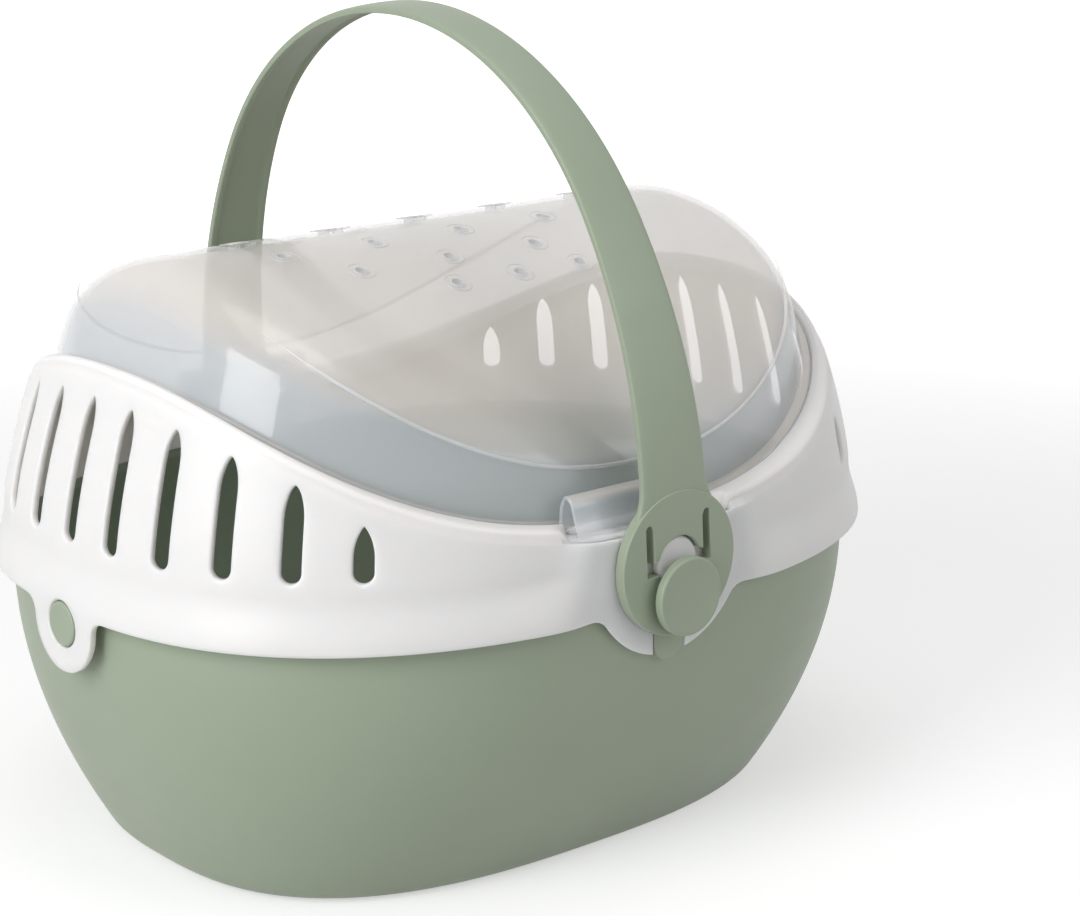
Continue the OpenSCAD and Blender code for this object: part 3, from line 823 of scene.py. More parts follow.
def collar_columns():
    """Lengths along the outline of all columns, the foot of each, and where the slots stand."""
    c, part = collar(), tub().part_z
    half_turn, quarter = rim_total() / 2, rim_total() / 4
    reach, lug_half = END_SLOTS * c.slot_pitch / 2, LUG_COLUMNS * SIDE_STEP
    step = c.slot_pitch / SLOT_COLUMNS
    tab, lug = tab_line(), lug_line()
    runs, feet, slots, tabs = [], [], [], []
    gap = quarter - lug_half - reach
    steps = int(round(gap / (2 * SIDE_STEP)))
    for end in (0, 1):
        middle, side = end * half_turn, end * half_turn + quarter
        start = len(runs)
        for i in range(END_SLOTS * SLOT_COLUMNS):
            run = -reach + i * step
            spot = int(round((run + c.slot_pitch) / step))
            foot = tab[spot] if 0 <= spot <= 2 * SLOT_COLUMNS else (run, part)
            runs.append(middle + run)
            feet.append((middle + foot[0], foot[1]))
        for k in range(END_SLOTS):
            order = k - END_SLOTS // 2
            slots.append((start + k * SLOT_COLUMNS, middle + order * c.slot_pitch, order))
        tabs.append((start + END_SLOTS * SLOT_COLUMNS // 2, middle))
        for i in range(steps):
            runs.append(middle + reach + gap * i / steps)
            feet.append((runs[-1], part))
        for i in range(2 * LUG_COLUMNS):
            runs.append(side - lug_half + i * SIDE_STEP)
            feet.append((side + lug[i][0], lug[i][1]))
        for i in range(steps):
            runs.append(side + lug_half + gap * i / steps)
            feet.append((runs[-1], part))
    return np.array(runs), np.array(feet), slots, tabs


class CollarMesh:
    """The collar as one closed wall of columns along the outline and rows round the section."""

    def __init__(self):
        self.verts, self.faces = [], []
        self.runs, self.feet, self.slots, self.tabs = collar_columns()
        self.angle = rim_angle(np.mod(self.runs, rim_total()))
        outer = self.wall(0, OUTER_GAP)
        inner = self.wall(collar().wall, INNER_GAP)
        holes = self.slot_holes(outer, inner) | self.tab_holes(outer, inner)
        for rows in (outer, inner):
            for r in range(len(rows["numbers"]) - 1):
                self.band(rows["numbers"][r], rows["numbers"][r + 1], {c for row, c in holes if row == r})
        self.foot(outer, inner)
        self.lip(outer, inner)

    def add(self, points):
        start = len(self.verts)
        self.verts.extend(points)
        return np.arange(start, len(self.verts))

    def band(self, low, high, skip=()):
        """Faces between two rows that run all the way round."""
        self.faces.extend(face for i, face in enumerate(ring_faces(low, high)) if i not in skip)

    def top(self, out=0):
        """Height of the lip's top, where out is 1 at its outer face and 0 at the lid."""
        x = rim_point(0, self.angle)[0]
        return edge_z(self.angle) - collar().ledge_drop * self.notch(x, NOTCH_PAST + NOTCH_SPREAD * out)

    def notch(self, x, past):
        """1 along a latch flap and a little past its ends, else 0."""
        low, high = -lid().flap_back - past, lid().flap_front + past
        return smooth((x - low) / MM) * smooth((high - x) / MM)

    def wall(self, depth, gap):
        """The rows of one face of the wall: the skirt first, then the rows beside the slots."""
        top = edge_z(self.angle) - gap
        runs, heights = [], []
        for i in range(SKIRT_ROWS):
            u = i / SKIRT_ROWS
            runs.append(self.feet[:, 0] * (1 - u) + self.runs * u)
            heights.append(self.feet[:, 1] * (1 - u) + PATCH_LOW * u + (FOOT_ROUND if i == 0 else 0))
        for i in range(SLOT_ROWS + 1):
            runs.append(self.runs)
            heights.append(PATCH_LOW + (top - PATCH_LOW) * i / SLOT_ROWS)
        numbers = [self.add(collar_surface(run, z, depth)) for run, z in zip(runs, heights)]
        return {"numbers": numbers, "runs": runs, "heights": heights, "depth": depth}

    def border(self, rows, first, columns, low, high):
        """Numbers and places of the grid points round a block: up, across, down and back."""
        total = rim_total()
        spots = [(r, first) for r in range(low, high)]
        spots += [(high, first + i) for i in range(columns)]
        spots += [(r, first + columns) for r in range(high, low, -1)]
        spots += [(low, first + i) for i in range(columns, 0, -1)]
        count = len(self.runs)
        numbers = [rows["numbers"][r][c % count] for r, c in spots]
        places = [(rows["runs"][r][c % count] + (total if c >= count else 0), rows["heights"][r][c % count])
                  for r, c in spots]
        return numbers, np.array(places)

    def hole(self, outer, inner, block, line):
        """Fits a hole with softened edges into a block of the wall, right through it."""
        soft, wall = collar().slot_round, collar().wall
        last = []
        for rows, sign in ((outer, 1), (inner, -1)):
            edge = grown(line, soft if sign > 0 else soft / 2)
            numbers, places = self.border(rows, *block)
            for share in (0.35, 0.7, 1.0):
                spot = places * (1 - share) + edge * share
                ring = self.add(collar_surface(spot[:, 0], spot[:, 1], rows["depth"]))
                self.band(numbers, ring)
                numbers = ring
            last.append(numbers)
        outside, inside = last
        for down, out in (*rounding(soft, (30, 60, 90)), (wall - soft / 2, 0)):
            edge = grown(line, out)
            ring = self.add(collar_surface(edge[:, 0], edge[:, 1], down))
            self.band(outside, ring)
            outside = ring
        self.band(outside, inside)

    def slot_holes(self, outer, inner):
        """The air slots at both ends."""
        c, holes = collar(), set()
        for first, middle, order in self.slots:
            top = float(edge_z(rim_angle(np.mod(middle, rim_total())))) - slot_top_gap(order)
            point = SHORT_POINT if abs(order) == END_SLOTS // 2 else LONG_POINT
            line = slot_line(c.slot_w / 2, c.slot_low_z, top, point) + (middle, 0)
            self.hole(outer, inner, (first, SLOT_COLUMNS, SKIRT_ROWS, SKIRT_ROWS + SLOT_ROWS), line)
            holes |= {(r, first + i) for r in range(SKIRT_ROWS, SKIRT_ROWS + SLOT_ROWS)
                      for i in range(SLOT_COLUMNS)}
        return holes

    def tab_holes(self, outer, inner):
        """The round holes of the end tabs, in which the studs sit."""
        c, holes = collar(), set()
        low, high = HOLE_ROWS
        for centre, middle in self.tabs:
            first = centre - HOLE_COLUMNS
            block = (first, 2 * HOLE_COLUMNS, low, high)
            places = self.border(outer, *block)[1] - (middle, c.tab_z)
            if places[0][0] > rim_total() / 2:
                places = places - (rim_total(), 0)
            line = places / np.linalg.norm(places, axis=1)[:, None] * c.hole_r + (middle, c.tab_z)
            self.hole(outer, inner, block, line)
            holes |= {(r, first + i) for r in range(low, high) for i in range(2 * HOLE_COLUMNS)}
        return holes

    def foot(self, outer, inner):
        """The softened lower edge."""
        wall = collar().wall
        run, z = self.feet[:, 0], self.feet[:, 1]
        rings = [self.add(collar_surface(run, z + FOOT_ROUND * 0.3, 0.15 * MM)),
                 self.add(collar_surface(run, z, FOOT_ROUND)),
                 self.add(collar_surface(run, z, wall - FOOT_ROUND))]
        rows = [outer["numbers"][0], *rings, inner["numbers"][0]]
        for low, high in zip(rows, rows[1:]):
            self.band(low, high)

    def lip(self, outer, inner):
        """The rolled lip, the groove behind it and the ledge under the lid."""
        c, top = collar(), self.top()
        edge = edge_z(self.angle)
        off = collar_off(self.angle, edge)
        wide = lip_width(self.angle)
        drop = top - edge + c.ledge_drop + GROOVE_SINK
        groove = top - LIP_SINK - drop
        inner_round = np.minimum(LIP_INNER_ROUND, drop - GROOVE_SINK / 2)
        ledge_in = lid_off(edge - c.ledge_drop) + LEDGE_GAP
        front = self.top(1)
        section = [(off, front - LIP_LOW)]
        section += [(off - back, front - down) for back, down in rounding(LIP_ROUND, (15, 35, 55, 75, 90))]
        section += [(off - LIP_ROUND - (wide - LIP_ROUND - LIP_INNER_ROUND) * u,
                     self.top(1 - u) + LIP_CROWN * math.sin(math.pi * u) - LIP_SINK * u * u)
                    for u in (0.25, 0.5, 0.75, 1.0)]
        section += [(off - wide + LIP_INNER_ROUND * out, top - LIP_SINK - inner_round * down)
                    for down, out in rounding(1, (30, 60, 90))]
        section += [(off - wide, groove), (ledge_in, groove), (ledge_in, edge - c.ledge_drop - LEDGE_T)]
        rows = [outer["numbers"][-1]]
        for reach, z in section:
            x, y = rim_point(reach, self.angle)
            rows.append(self.add(np.stack([x, y, np.broadcast_to(z, x.shape)], -1)))
        rows.append(inner["numbers"][-1])
        for low, high in zip(rows, rows[1:]):
            self.band(low, high)


def rounded_box(low, high, soft):
    """A box with softened edges, from its lowest and highest corners."""
    bm = bmesh.new()
    bmesh.ops.create_cube(bm, size=1)
    for v in bm.verts:
        v.co = [low[i] if v.co[i] < 0 else high[i] for i in range(3)]
    bmesh.ops.bevel(bm, geom=list(bm.edges), offset=soft, segments=3, affect="EDGES")
    bm.verts.index_update()
    part = [tuple(v.co) for v in bm.verts], [tuple(v.index for v in f.verts) for f in bm.faces]
    bm.free()
    return part


def build_collar():
    mesh = CollarMesh()
    obj = mesh_object("collar_wall", mesh.verts, mesh.faces, white_plastic(), 50)
    reach, c = tub().rim_half_w, collar()
    low, high = c.edge_mid_z - c.ledge_drop - TONGUE_DROP, c.edge_mid_z - TONGUE_DROP
    back, front = TONGUE_END - lid().flap_back, lid().flap_front - TONGUE_END
    tongues = []
    for side in (-1, 1):
        near, far = sorted((side * (reach - TONGUE_IN), side * (reach - TONGUE_OUT)))
        tongues.append(rounded_box((back, near, low), (front, far, high), TONGUE_SOFT))
    rest = mesh_object("collar_tongues", *join_parts(tongues), white_plastic())
    keep(obj, "shell", "white_plastic", "collar")
    keep(flat_faces(rest), "shell", "white_plastic")


# Lid

LID_TURNS = 300
LID_WALL_ROWS = 16
LID_VAULT_ROWS = 34
CREASE_STEPS = 6
CREASE_FROM, CREASE_RUN, CREASE_SHARE = 0.55, 0.4, 0.45
FOOT_LIFT = 0.3 * MM
FLANGE_GAP = 0.5 * MM
FLANGE_T = 1.9 * MM
WALL_START = 2.4 * MM
BEAD_REACH = 150 * MM
BEAD_R = 0.75 * MM
BEAD_STEPS, BEAD_TURNS = 120, 10
BEAD_SINK, BEAD_FADE = 0.25, 4
VENTS = [(0, 45), (26, 45), (18, 31), (54, 31), (0, 14), (36, 14), (72, 14)]
VENT_LIP_OUT, VENT_LIP_T = 0.35 * MM, 0.32 * MM
VENT_CIRCLE_R, VENT_CIRCLE_T = 4.6 * MM, 0.2 * MM
VENT_SINK = 0.05 * MM
VENT_CUT = 6 * MM
FLAP_TOP = 9.6 * MM
FLAP_SOFT = 0.35 * MM
FLAP_OUT = [(0, 12.7), (0.4, 5.0), (1.5, 1.5), (3.3, 0), (5.2, 0.6), (6.8, 2.5), (8.1, 7.4), (10.3, 12.7)]
FLAP_IN = [(9.2, 12.7), (7.0, 7.2), (5.7, 3.2), (4.6, 1.8), (3.4, 1.4), (2.4, 2.6), (1.8, 6.0), (1.8, 12.7)]


def lid_profile(angle, depth):
    """Rows of points for one face of the lid, from its foot to near the middle of the vault."""
    l = lid()
    edge = edge_z(angle)
    flange = collar_off(angle, edge) - lip_width(angle) - FLANGE_GAP
    foot = edge - collar().ledge_drop + FOOT_LIFT
    rows = []

    def wall_row(z, reach):
        x, y = rim_point(reach, angle)
        rows.append(np.stack([x, y, np.broadcast_to(z, x.shape)], -1))

    if depth == 0:
        wall_row(foot, flange)
        wall_row(foot + 1.2 * MM, flange)
        wall_row(foot + 1.6 * MM, flange - 0.3 * MM)
        wall_row(foot + FLANGE_T, lid_off(foot + FLANGE_T) + 0.4 * MM)
    else:
        wall_row(foot, lid_off(foot) - depth)
    low = foot + WALL_START
    crease = crease_z(angle, depth)
    ends = np.abs(rim_point(0, angle)[0]) / tub().rim_half_l
    soft = l.crease_side + (l.crease_end - l.crease_side) * smooth((ends - CREASE_FROM) / CREASE_RUN)
    soft = np.minimum(soft, (crease - low) * CREASE_SHARE)
    stop = crease - soft
    for i in range(LID_WALL_ROWS + 1):
        z = low + (stop - low) * i / LID_WALL_ROWS
        wall_row(z, lid_off(z) - depth)
    start = rows[-1]
    x, y = rim_point(lid_off(crease) - depth, angle)
    corner = np.stack([x, y, crease], -1)
    radius = np.hypot(x, y)
    share = 1 - soft / radius
    after = np.stack([x * share, y * share, vault_z(y * share) - depth], -1)
    for i in range(1, CREASE_STEPS):
        t = i / CREASE_STEPS
        rows.append(start * (1 - t) ** 2 + corner * 2 * t * (1 - t) + after * t * t)
    for i in range(LID_VAULT_ROWS):
        k = share * (1 - i / LID_VAULT_ROWS)
        rows.append(np.stack([x * k, y * k, vault_z(y * k) - depth], -1))
    return rows


def lid_shell():
    """The whole lid without its air holes: both faces, joined at the foot."""
    angle = rim_angle(np.linspace(0, rim_total(), LID_TURNS, endpoint=False))
    verts, faces, feet = [], [], []
    for depth in (0, lid().wall):
        rings = []
        for row in lid_profile(angle, depth):
            rings.append(range(len(verts), len(verts) + LID_TURNS))
            verts.extend(row)
        for low, high in zip(rings, rings[1:]):
            faces += ring_faces(low, high)
        verts.append((0, 0, lid().ridge_z - depth))
        faces += [(rings[-1][i], rings[-1][(i + 1) % LID_TURNS], len(verts) - 1) for i in range(LID_TURNS)]
        feet.append(rings[0])
    return verts, faces + ring_faces(*feet)


def unit(vectors):
    """The rows of vectors, each brought to length 1."""
    return vectors / np.linalg.norm(vectors, axis=1)[:, None]


def crease_bead(side):
    """A thin bead along the crease between the lid's wall and its vault, which fades out at both ends."""
    middle = rim_total() / 4 * (1 if side > 0 else 3)
    angle = rim_angle(middle + np.linspace(-BEAD_REACH, BEAD_REACH, BEAD_STEPS))
    crease = crease_z(angle, 0)
    low = crease - 1 * MM
    line = np.stack([*rim_point(lid_off(crease), angle), crease], -1)
    down_wall = unit(np.stack([*rim_point(lid_off(low), angle), low], -1) - line)
    x, y = line[:, 0], line[:, 1]
    up_vault = unit(np.stack([-0.01 * x, -0.01 * y, vault_z(y * 0.99) - vault_z(y)], -1))
    inwards = down_wall + up_vault
    centre = line + inwards * lid().crease_side * BEAD_SINK
    out = -unit(inwards)
    across = np.cross(unit(np.gradient(line, axis=0)), out)
    share = smooth((1 - np.abs(np.linspace(-1, 1, BEAD_STEPS))) * BEAD_FADE)
    radius = (BEAD_R * (share * 0.9 + 0.1))[:, None]
    turns = [2 * math.pi * k / BEAD_TURNS for k in range(BEAD_TURNS)]
    rounds = [centre + radius * (out * math.cos(q) + across * math.sin(q)) for q in turns]
    return stacked([[points[i] for points in rounds] for i in range(BEAD_STEPS)])


def vent_spots():
    """Places of the air holes, without doubles."""
    return sorted({(sx * x * MM, sy * y * MM) for x, y in VENTS for sx in (-1, 1) for sy in (-1, 1)})


def vent_slope(y):
    """Slope of the vault across the lid at an air hole."""
    step = 0.1 * MM
    return float(vault_z(y + step) - vault_z(y - step)) / (2 * step)


def cut_vents(obj):
    """Cuts the air holes through the lid."""
    parts = []
    for x, y in vent_spots():
        lean = Matrix.Rotation(math.atan(vent_slope(y)), 4, "X")
        turn = Matrix.Translation((x, y, float(vault_z(y)))) @ lean
        line = [(0, -VENT_CUT), (lid().vent_r, -VENT_CUT), (lid().vent_r, VENT_CUT), (0, VENT_CUT)]
        parts.append(placed(lathe(line, 24), turn))
    cutter = mesh_object("vent_cutter", *join_parts(parts), clear_plastic())
    cut = obj.modifiers.new("Vents", "BOOLEAN")
    cut.object = cutter
    cut.operation = "DIFFERENCE"
    cut.solver = "EXACT"
    mesh = evaluated(obj)
    obj.modifiers.remove(cut)
    bpy.data.objects.remove(cutter)
    if len(mesh.polygons) <= len(obj.data.polygons):
        raise RuntimeError("the air holes were not cut")
    bpy.data.objects.remove(obj)
    return finish_mesh("lid_shell", mesh, clear_plastic(), 30, recalculate=False)


def vent_rings():
    """Raised rings round the air holes: a lip at the hole and a thin circle outside it."""
    tree = Tree("vent_rings", True, lip_r=lid().vent_r + VENT_LIP_OUT, circle_r=VENT_CIRCLE_R,
                lip_t=VENT_LIP_T, circle_t=VENT_CIRCLE_T, material=clear_plastic())
    get = tree.get
    parts = []
    for radius, thick in (("lip_r", "lip_t"), ("circle_r", "circle_t")):
        path = tree.add("GeometryNodeCurvePrimitiveCircle", Resolution=40, Radius=get(radius))
        section = tree.add("GeometryNodeCurvePrimitiveCircle", Resolution=10, Radius=get(thick))
        parts.append(tree.add("GeometryNodeCurveToMesh", Curve=path, Profile_Curve=section))
    both = tree.tree.nodes.new("GeometryNodeJoinGeometry")
    for part in parts:
        tree.tree.links.new(part.outputs[0], both.inputs[0])
    slope = tree.add("GeometryNodeInputNamedAttribute", {"data_type": "FLOAT"}, Name="slope")
    turn = tree.add("ShaderNodeCombineXYZ", X=slope.outputs["Attribute"])
    turned = tree.add("FunctionNodeEulerToRotation", Euler=turn)
    laid = tree.add("GeometryNodeInstanceOnPoints", Points=get("Geometry"), Instance=both, Rotation=turned)
    spots = bpy.data.meshes.new("vent_spots")
    places = [(x, y, float(vault_z(y)) - VENT_SINK) for x, y in vent_spots()]
    spots.from_pydata(places, [], [])
    spots.attributes.new("slope", "FLOAT", "POINT").data.foreach_set(
        "value", [math.atan(vent_slope(y)) for _, y, _ in places])
    return finish_mesh("lid_vent_rings", tree.bake(laid, spots), clear_plastic(), 60)


def smooth_line(points, steps):
    """The open line led smoothly through its points."""
    p = np.array(points, dtype=float)
    p = np.concatenate([[2 * p[0] - p[1]], p, [2 * p[-1] - p[-2]]])
    line = []
    for a, b, c, d in zip(p, p[1:], p[2:], p[3:]):
        for k in range(steps):
            t = k / steps
            line.append(0.5 * (2 * b + (c - a) * t + (2 * a - 5 * b + 4 * c - d) * t * t
                               + (3 * b - a - 3 * c + d) * t ** 3))
    return line + [p[-2]]


def flap_part(side):
    """A latch flap: a hollow band from the lid's wall, over, and down to the collar, open at both ends."""
    foot, top = tub().rim_half_w - lid().foot_in, collar().edge_mid_z + FLAP_TOP
    outside, inside = (smooth_line([(foot + out * MM, top - down * MM) for out, down in line], 5)
                       for line in (FLAP_OUT, FLAP_IN))
    section = np.array(outside + inside)
    back, front = -lid().flap_back, lid().flap_front
    ends = ((back, FLAP_SOFT), (back + FLAP_SOFT, 0), (front - FLAP_SOFT, 0), (front, FLAP_SOFT))
    return stacked([[(x, side * y, z) for y, z in inward(section, inset)] for x, inset in ends])


def inward(section, inset):
    """The closed section drawn in by a small inset, for a softened end."""
    along = np.roll(section, -1, 0) - np.roll(section, 1, 0)
    along /= np.maximum(np.linalg.norm(along, axis=1), 1e-9)[:, None]
    normal = np.stack([along[:, 1], -along[:, 0]], 1)
    area = np.sum(section[:, 0] * np.roll(section[:, 1], -1) - np.roll(section[:, 0], -1) * section[:, 1])
    return section - normal * inset * (1 if area > 0 else -1)


def build_lid():
    shell = cut_vents(mesh_object("lid_blank", *lid_shell(), clear_plastic(), 30))
    rings = vent_rings()
    flaps = mesh_object("lid_flaps", *join_parts([flap_part(-1), flap_part(1)]), clear_plastic(), 40)
    verts, faces = join_parts([crease_bead(-1), crease_bead(1)])
    beads = mesh_object("lid_crease_beads", verts, faces, clear_plastic(), 60)
    keep(shell, "cover", "clear_plastic", "lid")
    keep(beads, "cover", "clear_plastic")
    keep(rings, "cover", "clear_plastic")
    keep(flaps, "cover", "clear_plastic")


# Handle

STRAP_START = 15.8 * MM
STRAP_STEPS = 180
STRAP_TURNS = 96
STRAP_CROWN = 0.35 * MM
STRAP_RECESS = 1.0 * MM
STRAP_FLARE = 3.2 * MM
STRAP_FLARE_H = 11 * MM
STRAP_SQUARENESS = 7
STRAP_RIM, STRAP_RIM_SLOPE = 1.4 * MM, 0.9 * MM
WINDOW_HALF, WINDOW_LOW, WINDOW_HIGH = 13.5 * MM, -2 * MM, 15 * MM
TONGUE_HALF, TONGUE_LOW = 10.5 * MM, 2 * MM
SLIT_R = 1.3 * MM
BORE_GAP, STEM_GAP = 0.35 * MM, 0.05 * MM
PLATE_SOFT = 0.45 * MM


def arch_line(inset):
    """The strap's line from one pivot over the top to the other, as (across, height) from the pivots."""
    h = handle()
    top_mid = h.height - h.leg - h.top_r
    side_r = (h.half_span ** 2 + top_mid ** 2 - h.top_r ** 2) / (2 * (h.half_span - h.top_r))
    side_mid = side_r - h.half_span
    meet = math.degrees(math.atan2(top_mid, side_mid))
    side = [(y - side_mid, z + h.leg) for y, z in arc((0, 0), side_r - inset, 0, meet, 40)[:-1]]
    top = [(y, z + h.leg + top_mid) for y, z in arc((0, 0), h.top_r - inset, meet, 90, 60)]
    half = [(h.half_span - inset, STRAP_START)] + side + top
    return [(-y, z) for y, z in half[:-1]] + half[::-1]


def strap_mesh():
    """The strap, a grid swept along the arch: tapering, crowned outside and hollowed inside."""
    h = handle()
    line = arch_line(h.thick / 2)
    path = bpy.data.meshes.new("strap_path")
    path.from_pydata([(0, y, z) for y, z in line], [(i, i + 1) for i in range(len(line) - 1)], [])
    tree = Tree("strap", True, height=h.height, thick=h.thick, low_w=h.low_w, top_w=h.top_w,
                crown=STRAP_CROWN, recess=STRAP_RECESS, flare=STRAP_FLARE, flare_low=STRAP_START,
                flare_h=STRAP_FLARE_H, steps=STRAP_STEPS, turns=STRAP_TURNS, material=green_plastic())
    m, get = tree.math, tree.get
    grid, along, turn = tree.unit_grid("steps", "turns")
    angle = m("MULTIPLY", turn, 2 * math.pi)
    curve = tree.add("GeometryNodeMeshToCurve", Mesh=get("Geometry"))
    sample = tree.add("GeometryNodeSampleCurve", {"mode": "FACTOR", "use_all_curves": True}, Curves=curve)
    tree.join(sample.inputs["Factor"], along)
    place = tree.add("ShaderNodeSeparateXYZ", Vector=sample.outputs["Position"])
    heading = tree.add("ShaderNodeSeparateXYZ", Vector=sample.outputs["Tangent"])
    z = place.outputs["Z"]
    taper = m("DIVIDE", z, m("ADD", get("height"), 1 * MM))
    flare_by = m("SUBTRACT", 1, m("DIVIDE", m("SUBTRACT", z, get("flare_low")), get("flare_h"), clamp=True),
                 clamp=True)
    width = tree.between(get("low_w"), get("top_w"), taper)
    half = m("ADD", m("DIVIDE", width, 2), m("MULTIPLY", get("flare"), m("MULTIPLY", flare_by, flare_by)))
    c, s = m("COSINE", angle), m("SINE", angle)
    powers = [m("POWER", m("ABSOLUTE", side), STRAP_SQUARENESS) for side in (c, s)]
    size = m("POWER", m("ADD", *powers), 1 / STRAP_SQUARENESS)
    share_x, share_y = m("DIVIDE", c, size), m("DIVIDE", s, size)
    across = m("MULTIPLY", share_x, half)
    level = m("SUBTRACT", 1, m("MULTIPLY", share_x, share_x))
    thick = m("DIVIDE", get("thick"), 2)
    outer = m("MULTIPLY", share_y, m("SUBTRACT", thick, get("crown")))
    crown = m("MULTIPLY", m("MULTIPLY", get("crown"), level), m("GREATER_THAN", share_y, 0))
    inset = m("SUBTRACT", half, m("ABSOLUTE", across))
    hollow = m("DIVIDE", m("SUBTRACT", inset, STRAP_RIM), STRAP_RIM_SLOPE, clamp=True)
    recess = m("MULTIPLY", m("MULTIPLY", get("recess"), hollow), m("LESS_THAN", share_y, -0.5))
    rise = m("ADD", m("ADD", outer, crown), recess)
    shift_y = m("MULTIPLY", m("MULTIPLY", heading.outputs["Z"], -1), rise)
    shift_z = m("MULTIPLY", heading.outputs["Y"], rise)
    spot = tree.add("ShaderNodeCombineXYZ", X=across, Y=m("ADD", place.outputs["Y"], shift_y),
                    Z=m("ADD", z, shift_z))
    return tree.bake(tree.bend(grid, spot), path)


def close_ends(mesh):
    """Closes every open ring of the mesh with one face."""
    with edited(mesh) as bm:
        bmesh.ops.remove_doubles(bm, verts=bm.verts, dist=WELD)
        bmesh.ops.holes_fill(bm, edges=[e for e in bm.edges if len(e.link_faces) == 1], sides=0)
        bmesh.ops.recalc_face_normals(bm, faces=bm.faces)


def cut_plate(name, lines, thick, soft):
    """A flat plate with softened edges from an outline and the outlines of its holes."""
    curve = bpy.data.curves.new(name, "CURVE")
    curve.dimensions = "2D"
    curve.fill_mode = "BOTH"
    curve.extrude = thick / 2 - soft
    curve.bevel_depth = soft
    curve.bevel_resolution = 3
    curve.offset = -soft
    for line in lines:
        spline = curve.splines.new("POLY")
        spline.points.add(len(line) - 1)
        for point, (x, z) in zip(spline.points, line):
            point.co = (x, z, 0, 1)
        spline.use_cyclic_u = True
    holder = bpy.data.objects.new(name, curve)
    bpy.context.scene.collection.objects.link(holder)
    mesh = evaluated(holder)
    bpy.data.objects.remove(holder)
    if not mesh.polygons:
        raise RuntimeError(f"{name} has no faces")
    return mesh


def window_line():
    """Outline of the disc's opening: the hub's bore with a slit up each side of the springy tongue."""
    h = handle()
    bore = h.hub_r + BORE_GAP
    up = math.degrees(math.asin((TONGUE_LOW + 1 * MM) / bore))
    down = math.degrees(math.asin(WINDOW_LOW / bore))
    over = arc((0, 0), bore, 180 - up, up, 28)
    under = arc((0, 0), bore, down, -180 - down, 40)
    bend = arc((-WINDOW_HALF + SLIT_R, WINDOW_HIGH - SLIT_R), SLIT_R, 180, 20, 8)
    slit = [(-WINDOW_HALF, WINDOW_LOW), *bend]
    slit += [(-TONGUE_HALF, WINDOW_HIGH - 2 * MM), (-TONGUE_HALF, TONGUE_LOW)]
    return slit + over + [(-x, z) for x, z in slit[::-1]] + under


def disc_mesh(side):
    """One end disc, with a round bore for the button's stem below its opening."""
    h = handle()
    ring = arc((0, 0), h.disc_r, 0, 360, 128)[:-1]
    stem = arc((0, -h.stem_drop), h.stem_r + STEM_GAP, 0, 360, 32)[:-1]
    mesh = cut_plate("disc_plate", [ring, window_line(), stem], h.disc_t, PLATE_SOFT)
    mesh.transform(side_matrix(side, h.disc_y + h.disc_t / 2))
    return mesh


def build_handle():
    strap = strap_mesh()
    close_ends(strap)
    strap.transform(handle_matrix())
    keep(finish_mesh("handle_strap", strap, green_plastic(), 50), "bail", "green_plastic", "handle")
    for side, name in ((-1, "front"), (1, "rear")):
        disc = disc_mesh(side)
        disc.transform(handle_matrix())
        plate = finish_mesh(f"handle_disc_{name}", disc, green_plastic(), 30)
        keep(flat_faces(plate), "bail", "green_plastic")


# Turned pieces

HUB_SINK, HUB_SOFT, HUB_CROWN = 0.8 * MM, 1.6 * MM, 0.5 * MM
STEM_BACK, STEM_SINK = 1.7 * MM, 0.5 * MM
STUD_FLANGE_IN = 4.8 * MM
STUD_FLANGE_OUT, STUD_FLANGE_T = 2.2 * MM, 1.5 * MM


def soft_rod(radius, low, high, soft):
    """Profile of a rod with softened edges, from low to high along its axis."""
    foot = arc((radius - soft, low + soft), soft, -90, 0, 3)
    head = arc((radius - soft, high - soft), soft, 0, 90, 5)
    return [(0, low)] + foot + head + [(0, high)]


def build_hubs():
    """White hubs on which the handle turns, with a softly domed face."""
    h, back = handle(), collar().pad_y
    front = h.disc_y + h.disc_t - HUB_SINK
    for side, node in ((-1, "front_hub"), (1, "rear_hub")):
        profile = soft_rod(h.hub_r, 0, front - back, HUB_SOFT)[:-2]
        profile += [(r, front - back - HUB_CROWN * (r / h.hub_r) ** 2) for r in (5 * MM, 3 * MM, 1.5 * MM, 0)]
        verts, faces = placed(lathe(profile), side_matrix(side, back, 0, PIVOT_Z))
        keep(mesh_object(f"{node}_turned", verts, faces, white_plastic(), 40), "shell", "white_plastic", node)


def build_buttons():
    """Push buttons: a round head before the disc and a stem in the disc's bore."""
    h = handle()
    back = h.disc_y + h.disc_t + h.button_gap
    for side, node, body in ((-1, "front_button", "front_push"), (1, "rear_button", "rear_push")):
        top = h.button_t
        profile = soft_rod(h.button_r, 0, top, 0.7 * MM)[:-1]
        profile += [(h.button_r - 1.5 * MM, top), (h.button_r - 2.1 * MM, top - 0.12 * MM),
                    (6 * MM, top - 0.2 * MM), (0, top - 0.22 * MM)]
        stem = soft_rod(h.stem_r, h.disc_y + STEM_BACK, back + STEM_SINK, 0.3 * MM)
        head = placed(lathe(profile), side_matrix(side, back, 0, -h.button_drop))
        rod = placed(lathe(stem, 40), side_matrix(side, 0, 0, -h.stem_drop))
        verts, faces = placed(join_parts([head, rod]), handle_matrix())
        keep(mesh_object(f"{node}_turned", verts, faces, green_plastic(), 35), body, "green_plastic", node)


